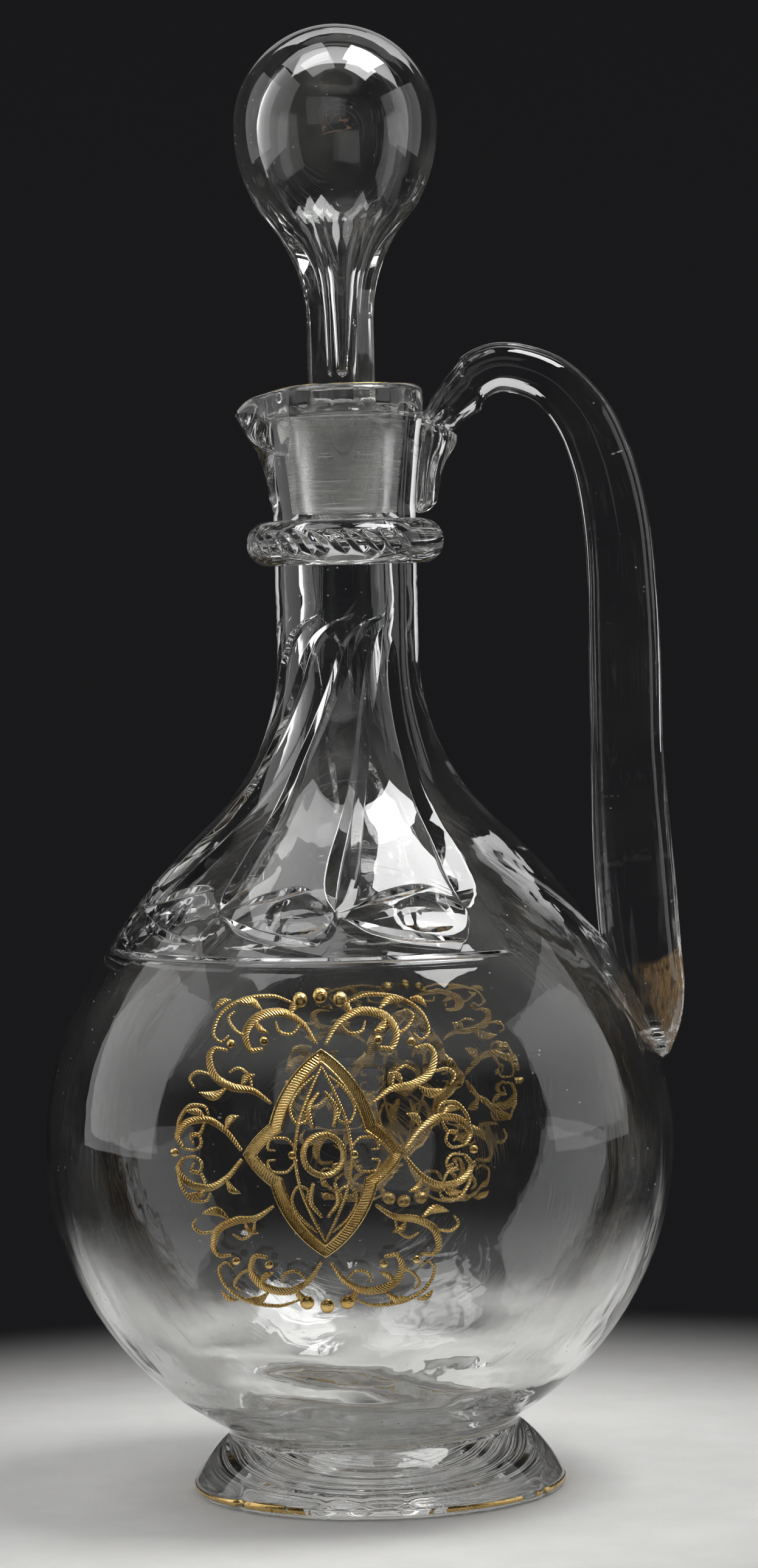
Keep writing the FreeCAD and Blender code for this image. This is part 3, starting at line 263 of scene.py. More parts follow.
# Height of the foot and of the tip of each cut, and the share of its width left of the mitre.
CUT_ENDS = np.array(((126.6, 186), (126.4, 186.4), (126.7, 186), (126.3, 186.4), (126.5, 186.6),
                     (126.5, 186.4), (126.4, 183.6), (125.9, 180.5)))
LEFT_SHARES = np.array((0.36, 0.39, 0.34, 0.4, 0.36, 0.33, 0.44, 0.25))
CUT_WIDTHS = ((0, 0.1), (0.03, 3.4), (0.08, 6.1), (0.15, 6.6), (0.28, 4.9), (0.45, 3.7),
              (0.62, 3.3), (0.8, 3.4), (0.9, 3.0), (0.96, 1.9), (1, 0.08))
# Places of the columns between left edge, mitre, right edge and the next cut: close together
# beside an edge, so that the polished edge is rounded over a quarter of a millimetre.
LEFT_STEPS, RIGHT_STEPS = (0, 0.11, 0.5, 0.89), (0, 0.08, 0.36, 0.64, 0.92)
BAY_STEPS, HANDLE_STEPS = 33, 44

# The husk beside the foot of each cut: degrees to the right of the foot, then the heights of the
# lower edge, mitre and upper edge of the lower and of the upper leaf.
LEAF_TURNS = (0, 1.7, 7.8, 14.6, 19.5, 23.3, 27.5, 31.1, 34)
LOWER_LEAF = ((124.90, 124.95, 122.0, 120.3, 119.7, 119.4, 119.45, 119.72, 124.90),
              (125.00, 125.00, 122.9, 121.3, 120.6, 120.2, 119.95, 119.80, 125.00),
              (125.10, 125.05, 123.9, 122.5, 121.7, 121.1, 120.4, 119.88, 125.10))
UPPER_LEAF = ((125.90, 125.95, 127.2, 128.1, 128.9, 129.6, 130.22, 129.2, 125.90),
              (126.00, 126.00, 128.3, 129.5, 130.1, 130.4, 130.30, 129.3, 126.00),
              (126.10, 126.05, 129.0, 130.4, 130.9, 130.95, 130.38, 129.4, 126.10))
LEAF_DEPTH, EYE_DEPTH, NEEDLE_DEEPEST = 0.85, 0.95, 1.65
LINE_LOW, LINE_MIDDLE, LINE_HIGH, LINE_DEPTH = 116.1, 116.7, 117.3, 0.45


def cut_width(height, k):
    """Width of a cut square to its way: quick to open above its foot, slowly closing, and pointed
    again at its tip."""
    foot, tip = CUT_ENDS[k]
    stations, widths = np.array(CUT_WIDTHS).T
    share = (height - foot) / (tip - foot)
    return smooth_path(stations, widths, share) * ((share > 0) & (share < 1))


def cut_spread(height, k):
    """Degrees between both edges of a cut at one height. A cut that leans is wider there than it
    is square to its way; outside the cut the columns of the grid open again."""
    foot, tip = CUT_ENDS[k]
    radius = OUTER.radius(height)
    lean = (smooth_path(PATH_HEIGHTS, MITRES[k], height + 0.3)
            - smooth_path(PATH_HEIGHTS, MITRES[k], height - 0.3)) / 0.6
    stretch = np.minimum(np.sqrt(1 + (np.radians(lean) * radius) ** 2), 2.6)
    spread = np.degrees(np.maximum(cut_width(height, k) * stretch, 0.1) / radius)
    away = np.maximum(foot - height, height - tip)
    return np.where(height < foot, spread + 5 * ease(away, 1.5, 14),
                    np.where(height > tip, spread + 6 * ease(away, 0, 8), spread))


def cut_depth(height, k):
    """Depth of the mitre: a share of the width of the cut."""
    return np.minimum(0.31 * cut_width(height, k), NEEDLE_DEEPEST)


def column_plan():
    """For each column: the knot it follows, its share of the way to the next knot, the cut it
    belongs to, its depth as a share of the mitre's, and its place across the bay, or -1."""
    knot, share, cut, deep, bay = [], [], [], [], []
    for k in range(len(MITRES)):
        last = k == len(MITRES) - 1
        wide = np.linspace(0, 1, (HANDLE_STEPS if last else BAY_STEPS) + 1)
        wide = np.concatenate([[0, 0.012], wide[1:-1], [0.988]])
        for part, t in enumerate((np.array(LEFT_STEPS), np.array(RIGHT_STEPS), wide)):
            count = len(t)
            knot.append(np.full(count, 3 * k + part))
            share.append(t)
            cut.append(np.full(count, k))
            deep.append(t if part == 0 else 1 - t if part == 1 else 0 * t)
            bay.append(np.full(count, -1.0) if part < 2 else t + (10.0 if last else 0.0))
    return [np.concatenate(x) for x in (knot, share, cut, deep, bay)]


KNOT, SHARE, CUT, DEEP, BAY = column_plan()
COLUMNS = len(KNOT)


def column_turns(height):
    """Turn of every column at a height per column. The knots are the left edge, the mitre and the
    right edge of each cut, and a column lies at its share of the way between two of them."""
    turns = np.zeros_like(height)
    for k in range(len(MITRES)):
        mine = CUT == k
        z = height[..., mine]
        mitre = smooth_path(PATH_HEIGHTS, MITRES[k], z)
        after = (k + 1) % len(MITRES)
        spread = cut_spread(z, k)
        following = (smooth_path(PATH_HEIGHTS, MITRES[after], z) + (360 if after == 0 else 0)
                     - cut_spread(z, after) * LEFT_SHARES[after])
        edges = np.stack([mitre - spread * LEFT_SHARES[k], mitre,
                          mitre + spread * (1 - LEFT_SHARES[k]), following])
        part = (KNOT[mine] - 3 * k)[None, :].repeat(len(z), 0)
        low = np.take_along_axis(edges, part[None], 0)[0]
        high = np.take_along_axis(edges, part[None] + 1, 0)[0]
        turns[..., mine] = low + (high - low) * SHARE[mine]
    return turns


def foot_slope(height):
    """Radius of the top of the foot about its own axis: an arc of 35 mm."""
    return 8.48 + np.sqrt(35.0**2 - (height + 13.71) ** 2)


def contact_height(turn, about_foot):
    """Height at which the top of the foot meets the globe, found by halving the span in which the
    globe's radius changes from less to more than the foot's."""
    low, high = np.full_like(turn, 8.0), np.full_like(turn, 15.0)
    a = np.radians(turn)
    for _ in range(40):
        z = (low + high) / 2
        globe = OUTER.radius(z)
        if about_foot:
            slope = foot_slope(z)
            inside = np.hypot(FOOT_X + slope * np.sin(a), slope * np.cos(a)) > globe
        else:
            inside = np.hypot(globe * np.sin(a) - FOOT_X, globe * np.cos(a)) < foot_slope(z)
        low, high = np.where(inside, z, low), np.where(inside, high, z)
    return low


def spout_shares(turn):
    """Bells of the turn about the spout: how far the lip is pulled out, how far the trough opens
    it, and how far in millimetres its edge falls."""
    away = (turn - SPOUT_TURN + 180) % 360 - 180
    return bump(away, 0, 21), bump(away, 0, 13), 2.1 * bump(away, 0, 34) + 2.0 * bump(away, 0, 9)


# From the lip down into the socket: radius and height of the plain mouth and of the spout's trough.
MOUTH = (((13.4, 231.2), (20.9, 227.6)), ((12.9, 230.0), (19.4, 225.6)),
         ((12.7, 229.0), (17.4, 223.8)), ((12.2, 228.2), (15.0, 222.3)),
         ((10.7, 227.8), (12.4, 221.2)), ((9.3, 227.6), (10.2, 220.6)),
         ((8.7, 227.5), (8.18, 220.5)))


def lip_rows(turn):
    """Radius and height from the collar over the rim and down the ground socket into the bore.

    The plain profile is a cone, two rounded edges and two more cones; the spout moves its rows
    outwards and down by bells of the turn about the spout."""
    pull, opening, fall = spout_shares(turn)
    flank_z = np.array((209.5, 211, 213, 215.5, 218, 220.5, 223, 225.5, 228.6))
    flank = smooth_path((208, 212, 216, 220, 224, 228, 229), (15.5, 16.0, 16.65, 17.85, 20.2, 22.3,
                                                             22.7), flank_z)
    rows = []
    for z, reach in zip(flank_z, flank):
        cone = NECK + 2.1 * (z - COLLAR) / 20.6
        rows.append((cone + pull * (reach - cone), z - 0 * turn))
    rows.append((LIP_MIDDLE + SPOUT_PULL * pull, 231.0 - 0.6 * fall))
    lip = LIP - 0.9 * opening
    for a in np.radians((0, 25, 50, 70, 90)):
        rows.append((LIP_MIDDLE + SPOUT_PULL * pull - lip + lip * np.cos(a),
                     LIP_Z - fall + lip * np.sin(a)))
    top = LIP_Z - fall + lip
    inner = 13.9 + 7.4 * opening
    rows.append((rows[-1][0] * 0.5 + inner * 0.5, top - 0.03))
    for a in np.radians((90, 60, 30, 0)):
        rows.append((inner - 0.5 * np.cos(a), top - 1.1 + 1.1 * np.sin(a)))
    for plain, spout in MOUTH:
        rows.append((plain[0] + (spout[0] - plain[0]) * opening,
                     plain[1] + (spout[1] - plain[1]) * opening))
    ground_from = len(rows) - 1
    seat_r, seat_z = rows[-1]
    for t in np.linspace(0, 1, 9)[1:]:
        rows.append((seat_r * (1 - t) + 7.2 * t, seat_z * (1 - t) + 207.5 * t))
    ground_to = len(rows) - 1
    rows.append((8.4 + 0 * turn, 205.3 + 0 * turn))
    return (np.array([r for r, _ in rows]), np.array([z for _, z in rows]), ground_from, ground_to)


def blown_vessel(finishes):
    """Globe, neck, lip and spout as one closed wall on a grid of heights and turns.

    The columns follow the mitre cuts and the rows follow the leaves, so every cut has its edges on
    edges of the grid; a point is sunk below the turned wall, along its normal, by the depth of the
    cut that it lies in, which falls evenly from the mitre to both edges."""
    flat = np.zeros(COLUMNS)
    low_turns = column_turns(flat[None] + 112)[0]
    contact = contact_height(low_turns, False) + CONTACT_RISE
    heights, sunk = [], []

    def row(height, depth=0.0):
        heights.append(np.broadcast_to(height, COLUMNS))
        sunk.append(np.broadcast_to(depth, COLUMNS))

    to_contact = np.arccos((GLOBE_Z - contact) / GLOBE)
    for t in np.linspace(0.1, 0.9, 9):
        row(GLOBE_Z - GLOBE * np.cos(to_contact * t))
    contact_row = len(heights)
    row(contact)
    upper = math.acos((GLOBE_Z - 112) / GLOBE)
    for t in np.linspace(0, 1, 25)[1:]:
        row(GLOBE_Z - GLOBE * np.cos(to_contact * (1 - t) + upper * t))
    drawn = 1 - ease(low_turns, 34, 41.5) + ease(low_turns, 138.5, 146)
    for height, share in ((114, 0), (115.9, 0), (LINE_LOW, 0), (116.2, 0.18), (116.6, 0.84),
                          (LINE_MIDDLE, 1), (116.8, 0.84), (117.2, 0.18), (LINE_HIGH, 0),
                          (117.5, 0), (118.2, 0)):
        row(height, share * LINE_DEPTH * drawn)

    across = np.clip(BAY, 0, 1) * 34.0
    in_bay = (BAY >= 0) & (BAY <= 1)
    in_gap = BAY >= 10
    gap = np.where(in_gap, np.minimum(BAY - 10, 11 - BAY), 0)
    even = ease(gap, 0, 0.12)
    leaf_curves = [np.where(in_bay, smooth_path(LEAF_TURNS, curve, across), curve[0])
                   for curve in LOWER_LEAF + UPPER_LEAF]
    spaced = np.linspace(119.6, 131.0, 6)
    leaf_curves = [curve * (1 - even) + level * even for curve, level in zip(leaf_curves, spaced)]
    lower_deep = LEAF_DEPTH * np.sin(np.pi * np.clip((across - 1.7) / 29.4, 0, 1)) ** 0.6 * in_bay
    upper_deep = LEAF_DEPTH * np.sin(np.pi * np.clip((across - 1.7) / 25.8, 0, 1)) ** 0.6 * in_bay

    def between(one, two, shares, deep_one=0.0, deep_two=0.0):
        """Rows from one curve up to the next, each at a share of the way."""
        for t in shares:
            row(one + (two - one) * t, deep_one + (deep_two - deep_one) * t)

    lines = leaf_curves
    flank = (0.1, 0.5, 0.9, 1)
    between(118.2 + flat, lines[0], (0.5, 0.92, 1))
    between(lines[0], lines[1], flank, 0, lower_deep)
    between(lines[1], lines[2], flank, lower_deep, 0)
    between(lines[2], lines[3], np.concatenate([[0.02], np.arange(1, 12) / 12, [0.98, 1]]))
    between(lines[3], lines[4], flank, 0, upper_deep)
    between(lines[4], lines[5], flank, upper_deep, 0)
    between(lines[5], 133.5 + flat, (0.08, 0.3, 0.55, 0.8, 1))
    for height in np.concatenate([np.arange(134.5, 175, 1.1), np.arange(175.5, 188, 0.4)]):
        row(height)
    for height in (189, 190.5, 192.5, 195, RING_LOW, 199, 201.5, 204, RING_HIGH, 207.2, COLLAR):
        row(height)
    ring_rows = (len(heights) - 7, len(heights) - 3)

    z, depth = np.array(heights), np.array(sunk)
    turns = column_turns(z)
    for k in range(len(MITRES)):
        mine = CUT == k
        depth[:, mine] += DEEP[mine] * cut_depth(z[:, mine], k)
    eye_across, eye_up = (across - 24.4) / 9.2, (z - 125.25) / 3.75
    eye = np.clip(1 - eye_across**2 - eye_up**2, 0, 1) ** 0.8 * in_bay * (z > lines[2]) * (
        z < lines[3])
    bar = (bump(across, 17.6, 0.8) + bump(across, 20.1, 0.8)) * ease(eye, 0, 0.2)
    depth = depth + EYE_DEPTH * eye * (1 - 0.45 * bump(across, 18.8, 1.2)) + 0.3 * bar
    depth += 0.07 * (1 + hand_made(turns, z, 1)) * (1 - ease(z, 185, 195))
    radius, height = OUTER.offset(z, depth)

    lip_turns = np.broadcast_to(turns[-1], COLUMNS)
    lip_r, lip_z, ground_from, ground_to = lip_rows(lip_turns)
    inner_z = np.concatenate([np.linspace(203.5, NECK_ROOT, 8), np.linspace(NECK_ROOT, 128, 19)[1:],
                              np.linspace(128, 84, 13)[1:],
                              HOLLOW_Z - HOLLOW * np.cos(np.linspace(1.7, 0.05, 36))])
    inner_turns = column_turns(flat[None] + np.clip(inner_z, 112, 192)[:, None])
    at = inner_z[:, None] + flat
    a = np.radians(inner_turns)
    wave = 0.14 * hand_made(inner_turns + 70, at, 1.4) * (1 - ease(at, 175, 200))
    reach = np.sqrt(np.maximum(HOLLOW**2 - (at - HOLLOW_Z) ** 2, 0))
    swirl = np.sin(0.42 * reach - 2 * a + 1.6 * np.sin(a + 0.5)) + 0.6 * np.sin(
        0.75 * reach + 3 * a + 2 * np.sin(2 * a))
    wave = wave + 0.24 * swirl * ease(-at, -46, -24) * ease(reach, 4, 16)
    inner_r, inner_h = INNER.offset(at, wave)

    radius = np.concatenate([radius, lip_r, inner_r])
    height = np.concatenate([height, lip_z, inner_h])
    turns = np.concatenate([turns, np.broadcast_to(lip_turns, lip_r.shape), inner_turns])
    rows = len(radius)
    finish = np.zeros((rows - 1, COLUMNS), int)
    finish[:contact_row] = FUSED
    finish[ring_rows[0]:ring_rows[1]] = FUSED
    outer = len(z)
    finish[outer + ground_from:outer + ground_to] = GROUND

    skin = Skin()
    index = skin.grid(turned(radius, turns, height), finish)
    skin.close(index[0], (0, 0, GLOBE_Z - GLOBE), FUSED, last=False)
    skin.close(index[-1], (0, 0, HOLLOW_Z - HOLLOW), 0)
    return skin.make("blown_vessel", finishes, "decanter", ["vessel"])


# Chips in the edge of the foot: turn and spread in degrees, and depth.
CHIPS = ((-48.5, 2.2, 0.7), (-17, 1.6, 0.35), (-6, 2.4, 0.3), (8, 1.5, 0.4), (61, 1.8, 0.45),
         (133, 2.6, 0.4), (210, 1.7, 0.5), (262, 2.0, 0.3))


def spun_foot(finishes):
    """The foot as a closed turned surface about its own axis.

    Dished underside, rounded edge and an arched top that runs by a hollow curve into the globe,
    then the seat under the globe. The hollow curve is a share (1-t)^2, 2t(1-t), t^2 of its start,
    of the corner where foot and globe would meet, and of its end on the globe. Chips are bells in
    the turn about the foot that push the edge in."""
    count = 300
    turn = np.arange(count) * 360 / count
    a = np.radians(turn)
    contact = contact_height(turn, True)
    rows, finish = [], []

    def row(radius, height, kind=0):
        rows.append(turned(radius, turn, height) + (FOOT_X, 0, 0))
        finish.append(kind)

    dish = (29.0**2 + 2.2**2) / (2 * 2.2)
    for r in (3, 8, 13, 17.5, 21.5, 25, 27.5, 29):
        row(r, 2.2 - dish + math.sqrt(dish**2 - r**2), BASE)
    worn = sum(depth * bump((turn - at + 180) % 360 - 180, 0, wide) for at, wide, depth in CHIPS)
    for r in (31.5, 34.5, 37):
        row(r, 0.03 * (1 + hand_made(turn, r, 2)), BASE)
    for part in np.radians((-90, -60, -30, 0)):
        row(38.4 + 1.1 * np.cos(part) - worn * 0.7, 1.1 + 1.1 * np.sin(part))
    row(39.5 - worn, 1.8)
    row(39.42 - worn * 1.3, 2.45)
    for t in (0.02, 0.08, 0.18, 0.3, 0.42, 0.54, 0.66, 0.78, 0.9, 1):
        z = 2.5 + (contact - FILLET_FALL - 2.5) * t
        row(foot_slope(z) - 0.03 * (1 + hand_made(turn, z * 3, 2)) * (t > 0.1)
            - worn * ease(0.2 - t, 0, 0.2), z)

    high = contact + CONTACT_RISE
    start = rows[-1]
    meet = turned(foot_slope(contact), turn, contact) + (FOOT_X, 0, 0)
    way = np.arctan2(meet[:, 0], -meet[:, 1])
    globe = OUTER.radius(high)
    end = np.stack([globe * np.sin(way), -globe * np.cos(way), high], -1)
    for t in (0.2, 0.4, 0.6, 0.8, 1):
        rows.append((1 - t) ** 2 * start + 2 * t * (1 - t) * meet + t**2 * end)
        finish.append(0)
    finish[-1] = FUSED
    reach = np.arccos((GLOBE_Z - high) / GLOBE)
    for t in (0.85, 0.65, 0.45, 0.25, 0.1):
        z = GLOBE_Z - GLOBE * np.cos(reach * t)
        r = GLOBE * np.sin(reach * t)
        rows.append(np.stack([r * np.sin(way), -r * np.cos(way), z], -1))
        finish.append(FUSED)
    skin = Skin()
    points = np.array(rows)
    index = skin.grid(points, np.array(finish[:-1])[:, None])
    skin.close(index[0], (FOOT_X, 0, 2.2), BASE, last=False)
    skin.close(index[-1], (0, 0, GLOBE_Z - GLOBE), FUSED)
    return skin.make("spun_foot", finishes, "decanter", ["foot"])


def notched_ring(finishes):
    """Ring on the neck. Its plain section is an arc; a notch is a straight-sided wheel cut that
    leans, so the radius is the smaller of the arc and of the cut, whose radius grows with the
    square of the way along the notch and evenly with the way across it. The columns lean with the
    notches."""
    notches, rest = 25, 80
    first, spacing = 38.0, 10.5
    half = np.array((0, 0.05, 0.16, 0.32, 0.5, 0.66, 0.82, 0.93))
    per = np.concatenate([half, 2 - half[:0:-1], [2.0]])[:-1] / 2
    each = len(per)
    cut_turns = (first + spacing / 2 - spacing * (np.arange(notches)[:, None] + per)).ravel()
    end = first + spacing / 2 - spacing * notches
    rest_turns = end - (360 - spacing * notches) * np.arange(rest) / rest
    base = np.concatenate([cut_turns, rest_turns])
    middle = (RING_LOW + RING_HIGH) / 2
    z = middle + 4.7 * np.sin(np.linspace(-90, 90, 57) * math.pi / 180)
    reach = RING - NECK
    arc = (4.7**2 + reach**2) / (2 * reach)
    plain = RING - arc + np.sqrt(np.maximum(arc**2 - (z - middle) ** 2, 0))
    up = (z - middle)[:, None]
    lean = math.radians(38)
    swing = np.degrees(up * math.tan(lean) / 20.5)
    number = np.arange(len(base))
    fade = np.concatenate([np.ones(len(cut_turns)), np.zeros(rest)])
    fade = fade * ease(number, -1, 10) * ease(notches * each - number, -1, 10)
    turns = base[None, :] - swing
    slot = np.floor((first + spacing / 2 - base) / spacing)
    centre = first - slot * spacing
    across = (base - centre) * math.radians(1) * 20.5 * math.cos(lean)
    along = up / math.cos(lean)
    vary = 1 + 0.12 * np.sin(slot * 2.3)
    cut = RING - 1.45 * vary + along**2 / 15.0 + np.abs(across + 0.25) * 0.8
    radius = np.where(fade > 0, np.minimum(plain[:, None], cut + (1 - fade) * 3),
                      plain[:, None] + 0 * cut)
    radius = np.maximum(radius, NECK)
    radius[0], radius[-1] = NECK, NECK
    height = np.broadcast_to(z[:, None], radius.shape)
    outside = turned(radius, turns, height)
    skin = Skin()
    index = skin.grid(outside)
    ring = np.concatenate([index[-1:], index[:1]])
    closed = np.concatenate([ring, ring[:, :1]], 1)
    quads = np.stack([closed[0, :-1], closed[0, 1:], closed[1, 1:], closed[1, :-1]], -1)
    skin.add_faces(quads, FUSED)
    return skin.make("notched_neck_ring", finishes, "decanter", ["neck_ring"])


# The handle's outline in its own upright plane: for each station the inner and the outer edge of
# the rod, each across and up, and its half width.
ROD = ((1.086, 0.000, 0.38), (1.068, 0.042, 0.83), (1.052, 0.095, 1.06), (1.034, 0.157, 1.12),
       (1.022, 0.225, 1.13), (1.008, 0.334, 1.07), (1.000, 0.443, 1.01), (1.000, 0.552, 0.99),
       (0.997, 0.674, 0.96), (0.978, 0.783, 0.91), (0.934, 0.865, 0.84), (0.859, 0.933, 0.78),
       (0.738, 0.982, 0.71), (0.577, 1.000, 0.685), (0.47, 0.982, 0.70))
FOLD = (((29.4, 229.1), (24.5, 238.5), 5.3), ((27.2, 227.5), (21.6, 235.1), 5.45),
        ((25.2, 226.1), (19.3, 231.8), 5.6), ((23.9, 225.1), (17.4, 228.6), 5.95),
        ((22.9, 224.5), (15.6, 226.6), 4.9), ((23.6, 223.5), (14.4, 224.4), 6.0),
        ((23.2, 221.5), (14.4, 222.0), 5.8), ((21.5, 218.5), (14.4, 218.5), 5.5),
        ((20.3, 215.0), (14.4, 214.8), 5.3), ((19.6, 211.6), (14.4, 211.3), 5.15),
        ((18.9, 209.0), (14.4, 208.8), 4.8), ((17.4, 207.7), (14.6, 207.7), 3.4))


def handle_stations():
    """Edges and half widths of the rod, square to its middle line, then those of the fold."""
    middle = np.array([(x * 58.7, 91.0 + z * 146.8) for x, z, _ in ROD])
    half = np.array([w * 7.6 for _, _, w in ROD])
    along = np.gradient(middle, axis=0)
    along /= np.hypot(*along.T)[:, None]
    outward = np.stack([along[:, 1], -along[:, 0]], -1)
    inner, outer = middle - outward * half[:, None], middle + outward * half[:, None]
    fold = np.array([(a[0], a[1], b[0], b[1], w) for a, b, w in FOLD])
    rows = np.concatenate([inner, outer, half[:, None]], 1)
    return np.concatenate([rows, fold])


def drawn_handle(finishes):
    """The rod, pressed on at the shoulder, arched over and folded down under the rim.

    Each section is an ellipse between an inner and an outer edge; lengthwise flutes are a wave in
    the angle round the section, and the crimps at the weld are a wave along the rod that dies out
    away from the globe. A point that would lie inside the vessel is laid on a face 0.3 mm under
    its skin."""
    stations = handle_stations()
    place = np.concatenate([[0], np.cumsum(np.hypot(*np.diff((stations[:, :2] + stations[:, 2:4])
                                                            / 2, axis=0).T))])
    count, around = 400, 72
    s = np.linspace(0, place[-1], count)
    path = smooth_path(place, stations, s)
    inner, outer, half = path[:, :2], path[:, 2:4], path[:, 4]
    a = np.linspace(0, 2 * np.pi, around, endpoint=False)[None, :]
    share = s / s[-1]
    flute = (0.016 * np.cos(9 * a + 0.7 + 2.0 * share[:, None])
             + 0.010 * np.cos(16 * a + 1.9 - 3 * share[:, None])) * ease(share, 0.02, 0.12)[:, None]
    rib = 0.17 * np.cos(4 * a + 0.5) * ease(share, 0.87, 0.93)[:, None]
    swell = 1 + 0.008 * np.sin(share * 31 + 0.5)[:, None] + flute + rib
    middle = (inner + outer) / 2
    reach = (outer - inner) / 2
    x = middle[:, :1] + reach[:, :1] * np.cos(a) * swell
    z = middle[:, 1:] + reach[:, 1:] * np.cos(a) * swell
    y = half[:, None] * np.sin(a) * swell
    near = OUTER.radius(z)
    gap = np.hypot(x, y) - near
    crimp = 0.28 * np.sin(z * 2.4 + 0.4 * np.sign(y)) * bump(gap, 0.4, 1.8) * ease(-z, -101, -94)
    y = y + np.sign(y) * crimp
    weld = 0.3
    turn = np.arctan2(y, x)
    lip = np.where(z > COLLAR, NECK + 2.1 * (np.minimum(z, 228.6) - COLLAR) / 20.6, OUTER.radius(z))
    lip = np.where(z > LIP_Z, 15.3 + np.sqrt(np.maximum(LIP**2 - (z - LIP_Z) ** 2, 0)), lip)
    bed = lip - weld
    inside = (np.hypot(x, y) < bed) & (z < 234.4)
    radius = np.where(inside, bed, np.hypot(x, y))
    points = np.stack([radius * np.cos(turn), radius * np.sin(turn), z], -1)
    skin = Skin()
    sheet = np.stack([np.broadcast_to(s[:, None], x.shape),
                      np.broadcast_to(np.abs(a / np.pi - 1) * 20, x.shape)], -1)
    index = skin.grid(points, 0, sheet=sheet)
    first, last = points[0].mean(0), points[-1].mean(0)
    skin.close(index[0], first - (0, 0, 0.8), last=False)
    skin.close(index[-1], last - (0, 0, 0.5))
    return skin.make("drawn_handle", finishes, "decanter", ["handle"])


# The stopper: its plug, its stem, the hollow arc of the flare, the arc under the ball and the ball,
# each a radius and a height or a middle and a radius, and the flats that are cut on stem and flare.
PLUG_END, PLUG_START = (6.3, 209.2), (8.6, 227.5)
STEM, STEM_TOP = 7.4, 248.0
FLARE_MIDDLE, FLARE, FLARE_SPAN = (41.27, STEM_TOP), 33.87, 0.664
BALL, BALL_Z = 21.6, 289.2
UNDER_MIDDLE, UNDER = (-11.4, BALL_Z), 33.0
PANELS, PANEL_TURN, PANEL_DEPTH = 8, 7.0, 0.55


